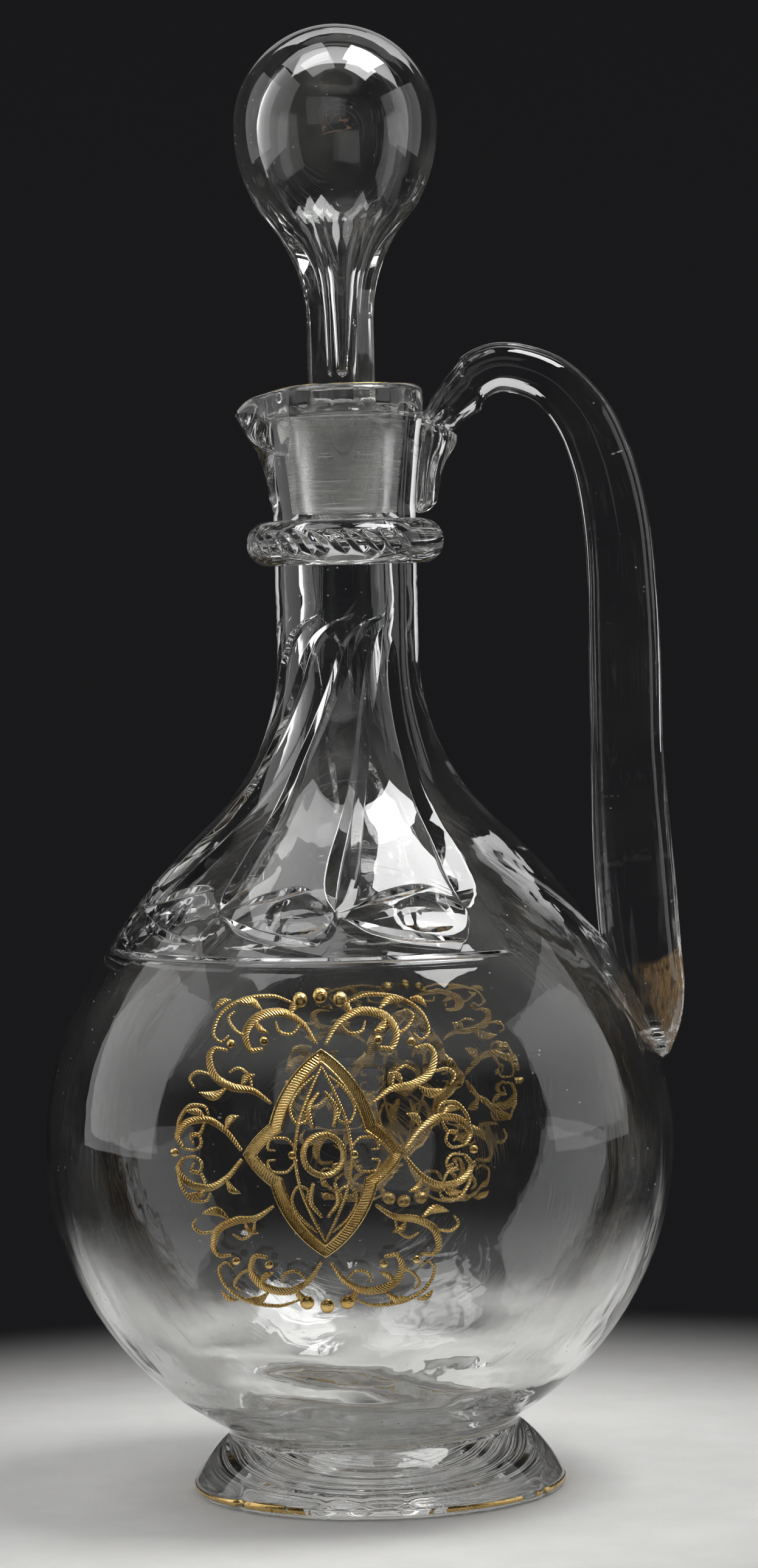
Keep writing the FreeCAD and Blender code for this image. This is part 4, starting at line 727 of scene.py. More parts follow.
def ground_stopper(finishes):
    """Plug, stem and ball in one skin, and the hollow with its tail as a second, turned inwards.

    The outside is a turned profile; on the stem and the flare each of eight panels is a flat a
    little below it, so the radius there is the smaller of the profile's and of the flat's, which
    is its distance over the cosine of the turn from its middle. The hollow is turned too, from the
    arcs of the flare, the underside and the cap, with a radius that waves round and along it."""
    flat_columns, edge_columns = 14, 5
    plug = [(5.35, 208.2), (5.9, 208.35), (6.2, 208.75), (6.3, 209.2)]
    plug += [(PLUG_END[0] + (PLUG_START[0] - PLUG_END[0]) * t,
              PLUG_END[1] + (PLUG_START[1] - PLUG_END[1]) * t) for t in np.linspace(0, 1, 10)[1:]]
    ground_rows = (3, len(plug) - 1)
    profile = plug + [(8.45, 227.9), (7.6, 228.5), (STEM, 229.0)]
    profile += [(STEM, z) for z in (229.6, 231, 234, 238, 242, 245, STEM_TOP)]
    profile += arc(FLARE_MIDDLE, -FLARE, np.linspace(0, -FLARE_SPAN, 20)[1:])
    profile += arc(UNDER_MIDDLE, UNDER, np.linspace(-FLARE_SPAN, 0, 18)[1:])
    profile += arc((0, BALL_Z), BALL, np.linspace(0, math.pi / 2, 26)[1:-1])
    profile = np.array(profile)
    r, z = profile[:, :1], profile[:, 1:]
    flat_flare = np.maximum((FLARE + PANEL_DEPTH) ** 2 - (z - STEM_TOP) ** 2, 0)
    flat_at = np.where(z < STEM_TOP, STEM - PANEL_DEPTH, FLARE_MIDDLE[0] - np.sqrt(flat_flare))
    on = (z > 229.3) & (z < 277)
    span = np.degrees(np.arccos(np.clip(flat_at / r, 0, 1)))
    span = np.where(on, np.clip(span, 0.6, 22.0), 11.0)
    t_flat = np.arange(flat_columns) / flat_columns
    t_edge = np.arange(edge_columns) / edge_columns
    turns = []
    for k in range(PANELS):
        middle = 45.0 * k + PANEL_TURN
        turns += [middle + span * (2 * t - 1) for t in t_flat]
        turns += [middle + span + (45 - 2 * span) * t for t in t_edge]
    turns = np.concatenate(turns, 1)
    away = (turns - PANEL_TURN + 22.5) % 45 - 22.5
    radius = np.where(on, np.minimum(r, flat_at / np.cos(np.radians(away))), r + 0 * turns)
    radius = radius - 0.05 * (1 + hand_made(turns, z + 0 * turns, 2)) * (z > 229)
    columns = turns.shape[1]
    edge = np.isin(np.arange(columns) % (flat_columns + edge_columns), (0, flat_columns))
    sharp = edge[None, :] & on[:-1] & (z[:-1] < 271)
    finish = np.zeros((len(z) - 1, 1), int)
    finish[ground_rows[0]:ground_rows[1]] = GROUND
    skin = Skin()
    index = skin.grid(turned(radius, turns, z + 0 * turns), finish, sharp=sharp)
    skin.close(index[0], (0, 0, 208.2), 0, last=False)
    skin.close(index[-1], (0, 0, 310.75))

    tear = [(0.5, 236.55), (1.05, 236.9), (1.35, 237.6), (1.6, 239.5), (1.95, 243.0),
            (2.35, 247.5), (2.7, 251.0)]
    tear += arc((24.2, 254), -21.2, np.linspace(0, -0.769, 12))
    tear += arc((-12.6, 289.6), 30, np.linspace(-0.769, 0, 12)[1:])
    tear += arc((0, 289.6), 17.4, np.linspace(0, 1.52, 20)[1:])
    tear = np.array(tear)
    t = smooth_path(np.arange(len(tear)), tear, np.linspace(0, len(tear) - 1, 90))
    turn = np.arange(96)[None, :] * 3.75
    radius = t[:, :1] * (1 + 0.02 * np.sin(np.radians(turn) * 2 + 1) + 0.012 * np.sin(
        np.radians(turn) * 3 + t[:, 1:] / 9))
    lean = 0.5 * np.sin((t[:, 1:] - 236) / 30)
    points = turned(radius, turn, t[:, 1:] + 0 * radius)[:, ::-1] + np.stack(
        [lean, 0 * lean, 0 * lean], -1)
    index = skin.grid(points, 0)
    skin.close(index[0], points[0].mean(0) - (0, 0, 0.35), 0, last=False)
    skin.close(index[-1], points[-1].mean(0) + (0, 0, 0.03))
    return skin.make("ground_stopper", finishes, "loose_stopper", ["stopper"])


# The gold ornament, as shares of its half height from its middle: two crossed pointed ovals, the
# strokes of one quarter with their half widths, the beads above and below, and the dots.
OVALS = ((0.37, 0.67), (0.52, 0.31))
RIBBON, STROKE, BEAD, DOT = 2.8, 0.62, 1.45, 0.85
STROKES = (
    ((0.03, 0.70, 0.5), (0.12, 0.83, 0.9), (0.27, 0.90, 1.3), (0.42, 0.86, 1.4), (0.49, 0.75, 1.1),
     (0.45, 0.66, 0.8), (0.38, 0.67, 0.6)),
    ((0.53, 0.03, 0.6), (0.63, 0.15, 0.9), (0.76, 0.22, 1.2), (0.89, 0.19, 1.2), (0.95, 0.10, 0.9),
     (0.91, 0.03, 0.5)),
    ((0.33, 0.33, 0.5), (0.45, 0.41, 1.0), (0.58, 0.43, 1.3), (0.70, 0.50, 1.3), (0.73, 0.61, 1.0),
     (0.68, 0.67, 0.7), (0.61, 0.66, 0.5)),
    ((0.62, 0.42, 0.3), (0.71, 0.37, 1.5), (0.80, 0.39, 0.2)),
    ((0.38, 0.91, 0.3), (0.46, 0.97, 1.5), (0.56, 0.96, 0.2)),
    ((0.02, 0.40, 0.5), (0.09, 0.29, 0.8), (0.07, 0.18, 0.6)))
HAIRLINES = (
    ((0.12, 0.83, 0.3), (0.20, 0.76, 0.5), (0.27, 0.78, 0.55), (0.29, 0.84, 0.3)),
    ((0.49, 0.75, 0.4), (0.55, 0.78, 0.55), (0.60, 0.86, 0.5), (0.56, 0.90, 0.3)),
    ((0.45, 0.41, 0.3), (0.47, 0.50, 0.55), (0.54, 0.55, 0.5), (0.60, 0.52, 0.3)),
    ((0.76, 0.22, 0.3), (0.80, 0.13, 0.55), (0.86, 0.10, 0.4), (0.84, 0.06, 0.3)),
    ((0.70, 0.50, 0.3), (0.80, 0.52, 0.6), (0.86, 0.47, 0.5), (0.83, 0.42, 0.3)),
    ((0.0, 0.56, 0.4), (0.07, 0.42, 0.5), (0.15, 0.22, 0.55), (0.19, 0.0, 0.55)),
    ((0.05, 0.50, 0.35), (0.15, 0.41, 0.5), (0.21, 0.29, 0.5), (0.16, 0.20, 0.5),
     (0.10, 0.23, 0.45), (0.12, 0.29, 0.3)),
    ((0.17, 0.03, 0.35), (0.25, 0.11, 0.5), (0.34, 0.10, 0.5), (0.36, 0.04, 0.45),
     (0.31, 0.03, 0.3)),
    ((0.16, 0.95, 0.3), (0.32, 1.0, 0.55), (0.52, 0.97, 0.6), (0.66, 0.87, 0.55), (0.70, 0.76, 0.5),
     (0.65, 0.71, 0.4), (0.60, 0.75, 0.3)),
    ((0.95, 0.10, 0.4), (0.93, 0.22, 0.6), (0.84, 0.31, 0.6), (0.76, 0.30, 0.5), (0.74, 0.25, 0.3)),
    ((0.91, 0.03, 0.3), (0.84, 0.02, 0.5), (0.79, 0.07, 0.5), (0.82, 0.13, 0.45),
     (0.87, 0.12, 0.3)))
LEAVES = (
    ((0.20, 0.87, 0.2), (0.17, 0.935, 1.2), (0.10, 0.955, 0.15)),
    ((0.63, 0.15, 0.2), (0.60, 0.225, 1.2), (0.54, 0.25, 0.15)),
    ((0.52, 0.43, 0.2), (0.49, 0.49, 1.1), (0.43, 0.51, 0.15)),
    ((0.76, 0.22, 0.2), (0.82, 0.27, 1.2), (0.90, 0.27, 0.15)),
    ((0.43, 0.86, 0.2), (0.40, 0.80, 1.1), (0.34, 0.77, 0.15)),
    ((0.58, 0.97, 0.2), (0.64, 0.96, 1.0), (0.69, 0.91, 0.15)))
BEADS = ((-0.13, 0.975), (0.0, 1.0), (0.13, 0.975))
DOTS = ((0.37, 0.72), (0.585, 0.70), (0.97, 0.0), (0.20, 0.0))
ORNAMENT_Z, FRONT, BACK = 79.0, (-1, -7.0, 31.0), (1, 10.0, 28.0)

# Sections of the raised gold: place across from -1 to 1, and height over the glass in mm.
RIBBON_SECTION = ((-1, -0.06), (-1, 0.16), (-0.93, 0.29), (-0.83, 0.33), (-0.73, 0.28),
                  (-0.66, 0.15), (-0.6, 0.12), (-0.3, 0.13), (0, 0.135), (0.3, 0.13), (0.6, 0.12),
                  (0.66, 0.15), (0.73, 0.28), (0.83, 0.33), (0.93, 0.29), (1, 0.16), (1, -0.06))
STROKE_SECTION = ((-1, -0.06), (-1, 0.07), (-0.88, 0.19), (-0.65, 0.29), (-0.35, 0.345),
                  (0, 0.36), (0.35, 0.345), (0.65, 0.29), (0.88, 0.19), (1, 0.07), (1, -0.06))


def on_glass(across, up, rise, place):
    """Lays a drawing that is seen straight on onto the glass, raised along its normal."""
    side, middle = place[:2]
    x, z = middle + across, ORNAMENT_Z + up
    turn = np.arcsin(x / OUTER.radius(z))
    radius, height = OUTER.offset(z, -rise)
    return np.stack([radius * np.sin(turn), side * radius * np.cos(turn), height], -1)


def gold_ribbon(skin, line, half, section, place, loop=False):
    """A relief along a line: at each point the section is laid square to the line's direction."""
    line, half = np.asarray(line, float), np.asarray(half, float)
    if loop:
        way = np.roll(line, -1, 0) - np.roll(line, 1, 0)
    else:
        way = np.gradient(line, axis=0)
    way /= np.maximum(np.hypot(*way.T)[:, None], 1e-9)
    aside = np.stack([-way[:, 1], way[:, 0]], -1)
    across, rise = np.array(section).T
    flat = line[:, None] + aside[:, None] * (half[:, None] * across)[..., None]
    low = np.minimum(1, half / (0.45 * STROKE))[:, None]
    rise = np.where(rise > 0, rise * low, rise)
    length = np.concatenate([[0], np.cumsum(np.hypot(*np.diff(line, axis=0).T))])
    sheet = np.stack([np.broadcast_to(length[:, None], rise.shape),
                      np.broadcast_to(across * half[:, None], rise.shape)], -1)
    index = skin.grid(on_glass(flat[..., 0], flat[..., 1], rise, place), loop=loop, sheet=sheet)
    if not loop:
        for end, last in ((0, False), (-1, True)):
            tip = line[end] + way[end] * half[end] * (0.7 if last else -0.7)
            skin.close(index[end], on_glass(tip[0], tip[1], 0.02, place), last=last)


def oval_edge(half_width, half_height, count, start, stop):
    """Points on the right-hand side of a pointed oval: an arc through both tips and the side.

    start and stop are shares of the way from the upper tip to the side."""
    tall = half_height > half_width
    small, large = min(half_width, half_height), max(half_width, half_height)
    radius = (small**2 + large**2) / (2 * small)
    top = math.asin(large / radius)
    a = top * (1 - np.linspace(start, stop, count))
    out, along = radius * np.cos(a) - (radius - small), radius * np.sin(a)
    return np.stack([out, along] if tall else [along, out], -1)


def frame_quarter(half_height, inset, count=26):
    """The outline of both ovals together, from the upper tip to the right tip."""
    tall = oval_edge(OVALS[0][0] * half_height - inset, OVALS[0][1] * half_height - inset, 400,
                     0, 1)
    wide = oval_edge(OVALS[1][0] * half_height - inset, OVALS[1][1] * half_height - inset, 400,
                     0, 1)
    gap = np.hypot(*(tall[:, None] - wide[None]).transpose(2, 0, 1))
    one, two = np.unravel_index(np.argmin(gap), gap.shape)
    first = tall[np.linspace(0, one, count).round().astype(int)]
    second = wide[np.linspace(two, 0, count).round().astype(int)]
    return np.concatenate([first, second[1:]])


def all_quarters(quarter):
    """Goes once round: right upper, right lower, left lower, left upper."""
    right_low = quarter[::-1] * (1, -1)
    left_low = quarter * (-1, -1)
    left_up = quarter[::-1] * (-1, 1)
    return np.concatenate([quarter, right_low[1:], left_low[1:], left_up[1:-1]])


def gilt_frame(name, finishes, place, nodes):
    """A ribbon with raised borders between two outlines of the crossed ovals, and the ring."""
    size = place[2]
    outer = all_quarters(frame_quarter(size, 0))
    inner = all_quarters(frame_quarter(size, RIBBON))
    share, rise = np.array(RIBBON_SECTION).T
    t = ((share + 1) / 2)[None, :, None]
    flat = inner[:, None] * (1 - t) + outer[:, None] * t
    length = np.concatenate([[0], np.cumsum(np.hypot(*np.diff(outer, axis=0).T))])
    sheet = np.stack([np.broadcast_to(length[:, None], flat.shape[:2]),
                      np.broadcast_to(share * RIBBON / 2, flat.shape[:2])], -1)
    skin = Skin()
    skin.grid(on_glass(flat[..., 0], flat[..., 1], np.broadcast_to(rise, flat.shape[:2]), place),
              loop=True, sheet=sheet)
    a = np.linspace(0, 2 * np.pi, 64, endpoint=False)
    ring = np.stack([np.sin(a), np.cos(a)], -1) * (0.15 * size - STROKE)
    gold_ribbon(skin, ring, np.full(64, STROKE), STROKE_SECTION, place, loop=True)
    return skin.make(name, finishes, "decanter", nodes)


def gilt_scrolls(name, finishes, place, nodes):
    """The scrolls, hairlines and leaves of all four quarters, each a domed stroke."""
    skin = Skin()
    for stroke in STROKES + HAIRLINES + LEAVES:
        stroke = np.array(stroke)
        at = np.concatenate([[0], np.cumsum(np.hypot(*np.diff(stroke[:, :2], axis=0).T))])
        count = max(14, int(at[-1] * place[2] / 0.55))
        drawn = smooth_path(at, stroke, np.linspace(0, at[-1], count))
        for across in (1, -1):
            for up in (1, -1):
                line = drawn[:, :2] * (across * place[2], up * place[2])
                half = drawn[:, 2] * STROKE
                gold_ribbon(skin, line[::across * up], half[::across * up], STROKE_SECTION, place)
    return skin.make(name, finishes, "decanter", nodes)


def gilt_beads(name, finishes, place, nodes):
    """Domes: the height is the bead's times the root of 1 less the square of the way out."""
    size = place[2]
    spots = [(x * size, up * z * size, BEAD, 0.85) for x, z in BEADS for up in (1, -1)]
    spots += [(side * x * size, up * z * size, DOT, 0.6) for x, z in DOTS
              for side in ((1, -1) if x else (1,)) for up in ((1, -1) if z else (1,))]
    skin = Skin()
    out = np.array((0.2, 0.4, 0.58, 0.74, 0.87, 0.96, 1.0, 1.0))[:, None]
    rise = np.where(np.arange(8)[:, None] < 7, np.sqrt(np.maximum(1 - out**2, 0.0)), -0.1)
    a = np.linspace(0, 2 * np.pi, 28, endpoint=False)[None, :]
    for x, z, radius, high in spots:
        across, up = x + radius * out * np.sin(a), z + radius * out * np.cos(a)
        lift = np.broadcast_to(np.where(rise > 0, rise * high, rise), across.shape)
        index = skin.grid(on_glass(across, up, lift, place))
        skin.close(index[0], on_glass(np.float64(x), np.float64(z), high, place), last=False)
        skin.close(index[-1], on_glass(np.float64(x), np.float64(z), -0.1, place))
    return skin.make(name, finishes, "decanter", nodes)


def foot_line(finishes):
    """The painted line on the edge of the foot, a band 0.1 mm thick that follows its chips.

    The band is wider where less of it is rubbed off. Where it has gone, its place across is moved
    past the edge of the paint, so that the finish leaves it clear."""
    turn = np.arange(480) * 0.75
    away = (turn + 180) % 360 - 180
    worn = sum(depth * bump((turn - at + 180) % 360 - 180, 0, wide) for at, wide, depth in CHIPS)
    ragged = 1.5 * np.sin(away * 2.1) + 0.9 * np.sin(away * 5.3 + 1)
    gone = ease(away + ragged, -23, -21) * (1 - ease(away + ragged, 13, 15))
    for at, wide in ((52, 4), (118, 9), (-122, 6), (168, 5)):
        gone = np.maximum(gone, ease(-np.abs(away - at), -wide, -wide + 1.5))
    high = 2.15 + 0.55 * bump(away, -36, 15) + 0.1 * np.sin(away / 9)
    a = np.radians(turn)
    rows, sheet = [], []
    for out, share, side in ((-0.06, 0, -1), (0.09, 0.05, -0.9), (0.1, 0.5, 0), (0.09, 0.95, 0.9),
                             (-0.06, 1, 1)):
        z = 1.0 + (high - 1.0) * share
        slope = np.where(z > 2.45, (z - 2.45) * 0.9, 0)
        r = 39.5 + out - worn * 1.15 - slope - 0.04 * (z > 2.3)
        rows.append(np.stack([FOOT_X + r * np.sin(a), -r * np.cos(a), z], -1))
        sheet.append(np.stack([turn * 0.69, side + 3 * gone], -1))
    skin = Skin()
    skin.grid(np.array(rows).transpose(1, 0, 2), loop=True,
              sheet=np.array(sheet).transpose(1, 0, 2))
    return skin.make("foot_line_of_gold", finishes, "decanter", ["foot_gilt_line"])


def rim_line(finishes):
    """The painted line on top of the rim, which stops where the spout opens it."""
    turn = np.linspace(SPOUT_TURN + 24, SPOUT_TURN + 336, 200)
    pull, opening, fall = spout_shares(turn)
    lip = LIP - 0.9 * opening
    rows = []
    for share, out in ((-1, -0.05), (-0.9, 0.06), (0, 0.08), (0.9, 0.06), (1, -0.05)):
        across = 15.0 + 0.75 * share + SPOUT_PULL * pull
        middle = LIP_MIDDLE + SPOUT_PULL * pull - lip
        a = np.arccos(np.clip((across - middle) / lip, -1, 1))
        top = np.where(across > middle, LIP_Z - fall + lip * np.sin(a), LIP_Z - fall + lip)
        rows.append(turned(across, turn, top + out))
    skin = Skin()
    points = np.array(rows).transpose(1, 0, 2)
    sheet = np.stack([np.repeat(turn[:, None] * 0.27, 5, 1),
                      np.repeat(np.array([[-1, -0.8, 0, 0.8, 1]]), 200, 0)], -1)
    index = skin.grid(points, sheet=sheet)
    skin.close(index[0], points[0].mean(0), last=False)
    skin.close(index[-1], points[-1].mean(0))
    return skin.make("rim_line_of_gold", finishes, "decanter", ["rim_gilt_line"])


class Graph:
    """Adds nodes to a tree; an input is a value or the output that feeds it."""

    def __init__(self, tree):
        self.tree = tree
        tree.nodes.clear()

    def add(self, kind, inputs=None, **settings):
        node = self.tree.nodes.new(kind)
        for key, value in settings.items():
            setattr(node, key, value)
        for key, value in (inputs or {}).items():
            if isinstance(value, bpy.types.NodeSocket):
                self.tree.links.new(value, node.inputs[key])
            else:
                node.inputs[key].default_value = value
        return node

    def sum(self, operation, one, two=0.0, three=0.0):
        """One sum on values, by any operation of the Math node."""
        return self.add("ShaderNodeMath", {0: one, 1: two, 2: three},
                        operation=operation).outputs[0]

    def span(self, value, low, high, to_low=0.0, to_high=1.0):
        return self.add("ShaderNodeMapRange",
                        {"Value": value, "From Min": low, "From Max": high, "To Min": to_low,
                         "To Max": to_high}, interpolation_type="SMOOTHSTEP").outputs[0]

    def place(self, coords, scale=(1, 1, 1), turn=(0, 0, 0)):
        return self.add("ShaderNodeMapping",
                        {"Vector": coords, "Scale": scale, "Rotation": turn}).outputs[0]

    def noise(self, coords, scale, detail=2.0, rough=0.5):
        return self.add("ShaderNodeTexNoise", {"Vector": coords, "Scale": scale, "Detail": detail,
                                               "Roughness": rough}).outputs[0]

    def bent_noise(self, coords, bend):
        """A noise whose coordinates are moved by another noise, as in swirls and wood."""
        return self.add("ShaderNodeTexNoise", {"Vector": coords, "Scale": 1.0, "Detail": 4.0,
                                               "Distortion": bend}).outputs[0]

    def own_coords(self):
        return self.add("ShaderNodeTexCoord").outputs["Object"]

    def parts(self, vector):
        return self.add("ShaderNodeSeparateXYZ", {0: vector}).outputs

    def length(self, vector):
        return self.add("ShaderNodeVectorMath", {0: vector}, operation="LENGTH").outputs["Value"]

    def between(self, share, one, two):
        """A colour on the way from one to two."""
        return self.add("ShaderNodeMix", {"Factor": share, "A": one, "B": two},
                        data_type="RGBA").outputs["Result"]

    def over(self, share, one, two):
        """Two shaders, the second over the first by its share."""
        return self.add("ShaderNodeMixShader", {0: share, 1: one.outputs[0], 2: two.outputs[0]})

    def relief(self, height, distance, strength=1.0):
        return self.add("ShaderNodeBump", {"Height": height, "Distance": distance,
                                           "Strength": strength}).outputs[0]

    def clear_glass(self, colour, rough, normal):
        return self.add("ShaderNodeBsdfPrincipled", {
            "Base Color": colour, "Metallic": 0.0, "IOR": 1.53, "Transmission Weight": 1.0,
            "Roughness": rough, "Normal": normal})

    def surface(self, shader):
        self.add("ShaderNodeOutputMaterial", {"Surface": shader.outputs[0]})


def new_group(name, inputs, outputs):
    """A node group with named inputs and outputs, and a graph to fill it."""
    tree = bpy.data.node_groups.new(name, "ShaderNodeTree")
    for label, kind, value in inputs:
        socket = tree.interface.new_socket(name=label, in_out="INPUT", socket_type=kind)
        if value is not None:
            socket.default_value = value
    for label, kind in outputs:
        tree.interface.new_socket(name=label, in_out="OUTPUT", socket_type=kind)
    graph = Graph(tree)
    return tree, graph, graph.add("NodeGroupInput"), graph.add("NodeGroupOutput")


FLOAT, VECTOR = "NodeSocketFloat", "NodeSocketVector"
WATER_CLEAR, POLISHED = (0.985, 0.99, 0.985, 1), 0.004


def use_and_dust():
    """What years of use leave on glass: dust, fine scratches and a thin uneven film."""
    tree, g, into, out = new_group(
        "use_and_dust", (("Coords", VECTOR, None), ("Amount", FLOAT, 1.0)),
        (("Rough", FLOAT), ("Dust", FLOAT), ("Film", FLOAT)))
    coords, amount = into.outputs["Coords"], into.outputs["Amount"]
    cells = g.add("ShaderNodeTexVoronoi", {"Vector": coords, "Scale": 620.0}, feature="F1")
    few = g.sum("GREATER_THAN", g.add("ShaderNodeSeparateColor",
                                      {0: cells.outputs["Color"]}).outputs[0], 0.93)
    grain = g.span(cells.outputs["Distance"], 0.16, 0.07)
    dust = g.sum("MULTIPLY", few, grain)
    patches = g.span(g.noise(coords, 26.0, 3.0), 0.42, 0.62)
    dust = g.sum("MULTIPLY", dust, g.sum("MULTIPLY_ADD", patches, 0.8, 0.2))
    lines = None
    for turn in ((0.3, 0.2, 0.5), (1.1, -0.6, 2.0), (-0.7, 1.2, 3.4)):
        wave = g.noise(g.place(coords, (12, 900, 12), turn), 1.0, 1.0)
        line = g.span(g.sum("ABSOLUTE", g.sum("SUBTRACT", wave, 0.5)), 0.012, 0.002)
        lines = line if lines is None else g.sum("MAXIMUM", lines, line)
    lines = g.sum("MULTIPLY", lines, g.span(g.noise(coords, 70.0), 0.52, 0.66))
    film = g.span(g.noise(coords, 38.0, 5.0, 0.62), 0.38, 0.8)
    rough = g.sum("MULTIPLY_ADD", lines, 0.22, g.sum("MULTIPLY", film, 0.035))
    for label, value in (("Rough", rough), ("Dust", dust), ("Film", film)):
        tree.links.new(g.sum("MULTIPLY", value, amount), out.inputs[label])
    return tree


def glass_flow():
    """Cords and seeds in hand-worked glass: a height for the bump, drawn out along an axis."""
    tree, g, into, out = new_group(
        "glass_flow", (("Coords", VECTOR, None), ("Stretch", VECTOR, (1, 1, 1))),
        (("Height", FLOAT),))
    at = g.add("ShaderNodeVectorMath", {0: into.outputs["Coords"], 1: into.outputs["Stretch"]},
               operation="MULTIPLY").outputs[0]
    slow = g.noise(at, 30.0, 2.0)
    fine = g.noise(at, 130.0, 2.0)
    height = g.sum("MULTIPLY_ADD", fine, 0.16, slow)
    tree.links.new(height, out.inputs["Height"])
    return tree


def gold_age():
    """Where gold is bright or dull: hollows keep dirt, and the tops are rubbed."""
    tree, g, into, out = new_group(
        "gold_age", (("Coords", VECTOR, None),),
        (("Colour", "NodeSocketColor"), ("Rough", FLOAT), ("Height", FLOAT)))
    coords = into.outputs["Coords"]
    cloud = g.span(g.noise(coords, 160.0, 4.0, 0.6), 0.35, 0.7)
    grain = g.noise(coords, 1500.0, 3.0, 0.6)
    spots = g.span(g.noise(coords, 520.0, 2.0), 0.62, 0.72)
    ramp = g.add("ShaderNodeValToRGB", {"Fac": cloud})
    ramp.color_ramp.elements[0].color = (0.86, 0.62, 0.25, 1)
    ramp.color_ramp.elements[1].color = (0.70, 0.44, 0.15, 1)
    stained = g.between(g.sum("MULTIPLY", spots, 0.6), ramp.outputs["Color"],
                        (0.30, 0.17, 0.06, 1))
    rough = g.sum("MULTIPLY_ADD", grain, 0.25, g.sum("MULTIPLY_ADD", spots, 0.25, 0.12))
    tree.links.new(stained, out.inputs["Colour"])
    tree.links.new(rough, out.inputs["Rough"])
    tree.links.new(grain, out.inputs["Height"])
    return tree


USE, FLOW, GOLD_AGE = use_and_dust(), glass_flow(), gold_age()


def new_material(name):
    material = bpy.data.materials.new(name)
    material.use_nodes = True
    return material, Graph(material.node_tree)


def use_of(g, coords, amount):
    """The traces of use, placed in one material."""
    return g.add("ShaderNodeGroup", {"Coords": coords, "Amount": amount}, node_tree=USE)


def painted_reflection_in_handle_end(g, at):
    """Mask of a painted reflection: a brown swirl painted into the lower end of the handle,
    standing in for warm light reflected there. It lies right of one slanting line and below
    another, with the grain of a noise that is bent by a noise."""
    x, _, z = g.parts(at)
    right = g.span(g.sum("MULTIPLY_ADD", z, 0.30, x), 0.0926, 0.0938)
    below = g.span(g.sum("MULTIPLY_ADD", x, 0.5, g.sum("MULTIPLY", z, -1.0)), -0.0801, -0.0785)
    bent = g.bent_noise(g.place(at, (900, 260, 170), (0, 0.45, 0)), 2.4)
    grain = g.span(bent, 0.38, 0.60, 0.15, 1.0)
    return g.sum("MULTIPLY", g.sum("MULTIPLY", right, below), grain)


def brown_wisps(g, at):
    """Mask of the brown residue in the ball: wisps of a bent noise in one spot of the hollow's own
    skin, on the side towards the front."""
    middle = g.add("ShaderNodeMapping", {"Vector": at, "Location": (0, 0, -0.2893)}).outputs[0]
    inside = g.span(g.length(middle), 0.0192, 0.0186)
    ahead = g.span(g.parts(at)[1], 0.004, -0.004)
    spot = g.add("ShaderNodeVectorMath", {0: g.place(at, (1, 0, 1.4)), 1: (0.0003, 0, 0.4021)},
                 operation="DISTANCE").outputs["Value"]
    bent = g.bent_noise(g.place(at, (260, 260, 800), (0, 0.5, 0)), 1.6)
    wisps = g.sum("MULTIPLY", g.span(bent, 0.52, 0.62), g.span(spot, 0.0042, 0.0022))
    return g.sum("MULTIPLY", g.sum("MULTIPLY", wisps, inside), ahead)


def crystal(name, stretch, ripple, amount=1.0, along=False, mark=None, haze=0.012):
    """Clear glass. stretch draws its cords out, ripple is their height in metres, mark is a mask,
    its colour and its strength for a colour laid in or on the glass, which is a brown residue in
    the stopper and a painted reflection in the handle, haze is how dense the film is, and
    along lets the cords follow the piece's own sheet, which is in millimetres."""
    material, g = new_material(name)
    at = g.own_coords()
    worn = use_of(g, at, amount)
    flow_at = at
    if along:
        sheet = g.add("ShaderNodeUVMap", uv_map="along").outputs[0]
        flow_at = g.place(sheet, (MM, MM, MM))
    flow = g.add("ShaderNodeGroup", {"Coords": flow_at}, node_tree=FLOW)
    flow.inputs["Stretch"].default_value = stretch
    relief = g.relief(flow.outputs["Height"], ripple)
    clear = g.clear_glass(WATER_CLEAR, g.sum("ADD", worn.outputs["Rough"], POLISHED), relief)
    speck = g.add("ShaderNodeBsdfDiffuse", {"Color": (0.62, 0.60, 0.56, 1)})
    film = g.sum("MULTIPLY_ADD", worn.outputs["Film"], haze,
                 g.sum("MULTIPLY", worn.outputs["Dust"], 0.75))
    mix = g.over(film, clear, speck)
    if mark:
        mask, colour, strength = mark
        # The mark's colour is a brown residue in the stopper's hollow and a painted reflection in
        # the handle's lower end.
        stain_and_painted_reflection = g.add("ShaderNodeBsdfPrincipled", {
            "Base Color": colour, "Metallic": 0.0, "Roughness": 0.3, "Normal": relief})
        mix = g.over(g.sum("MULTIPLY", mask(g, at), strength), mix, stain_and_painted_reflection)
    g.surface(mix)
    return material


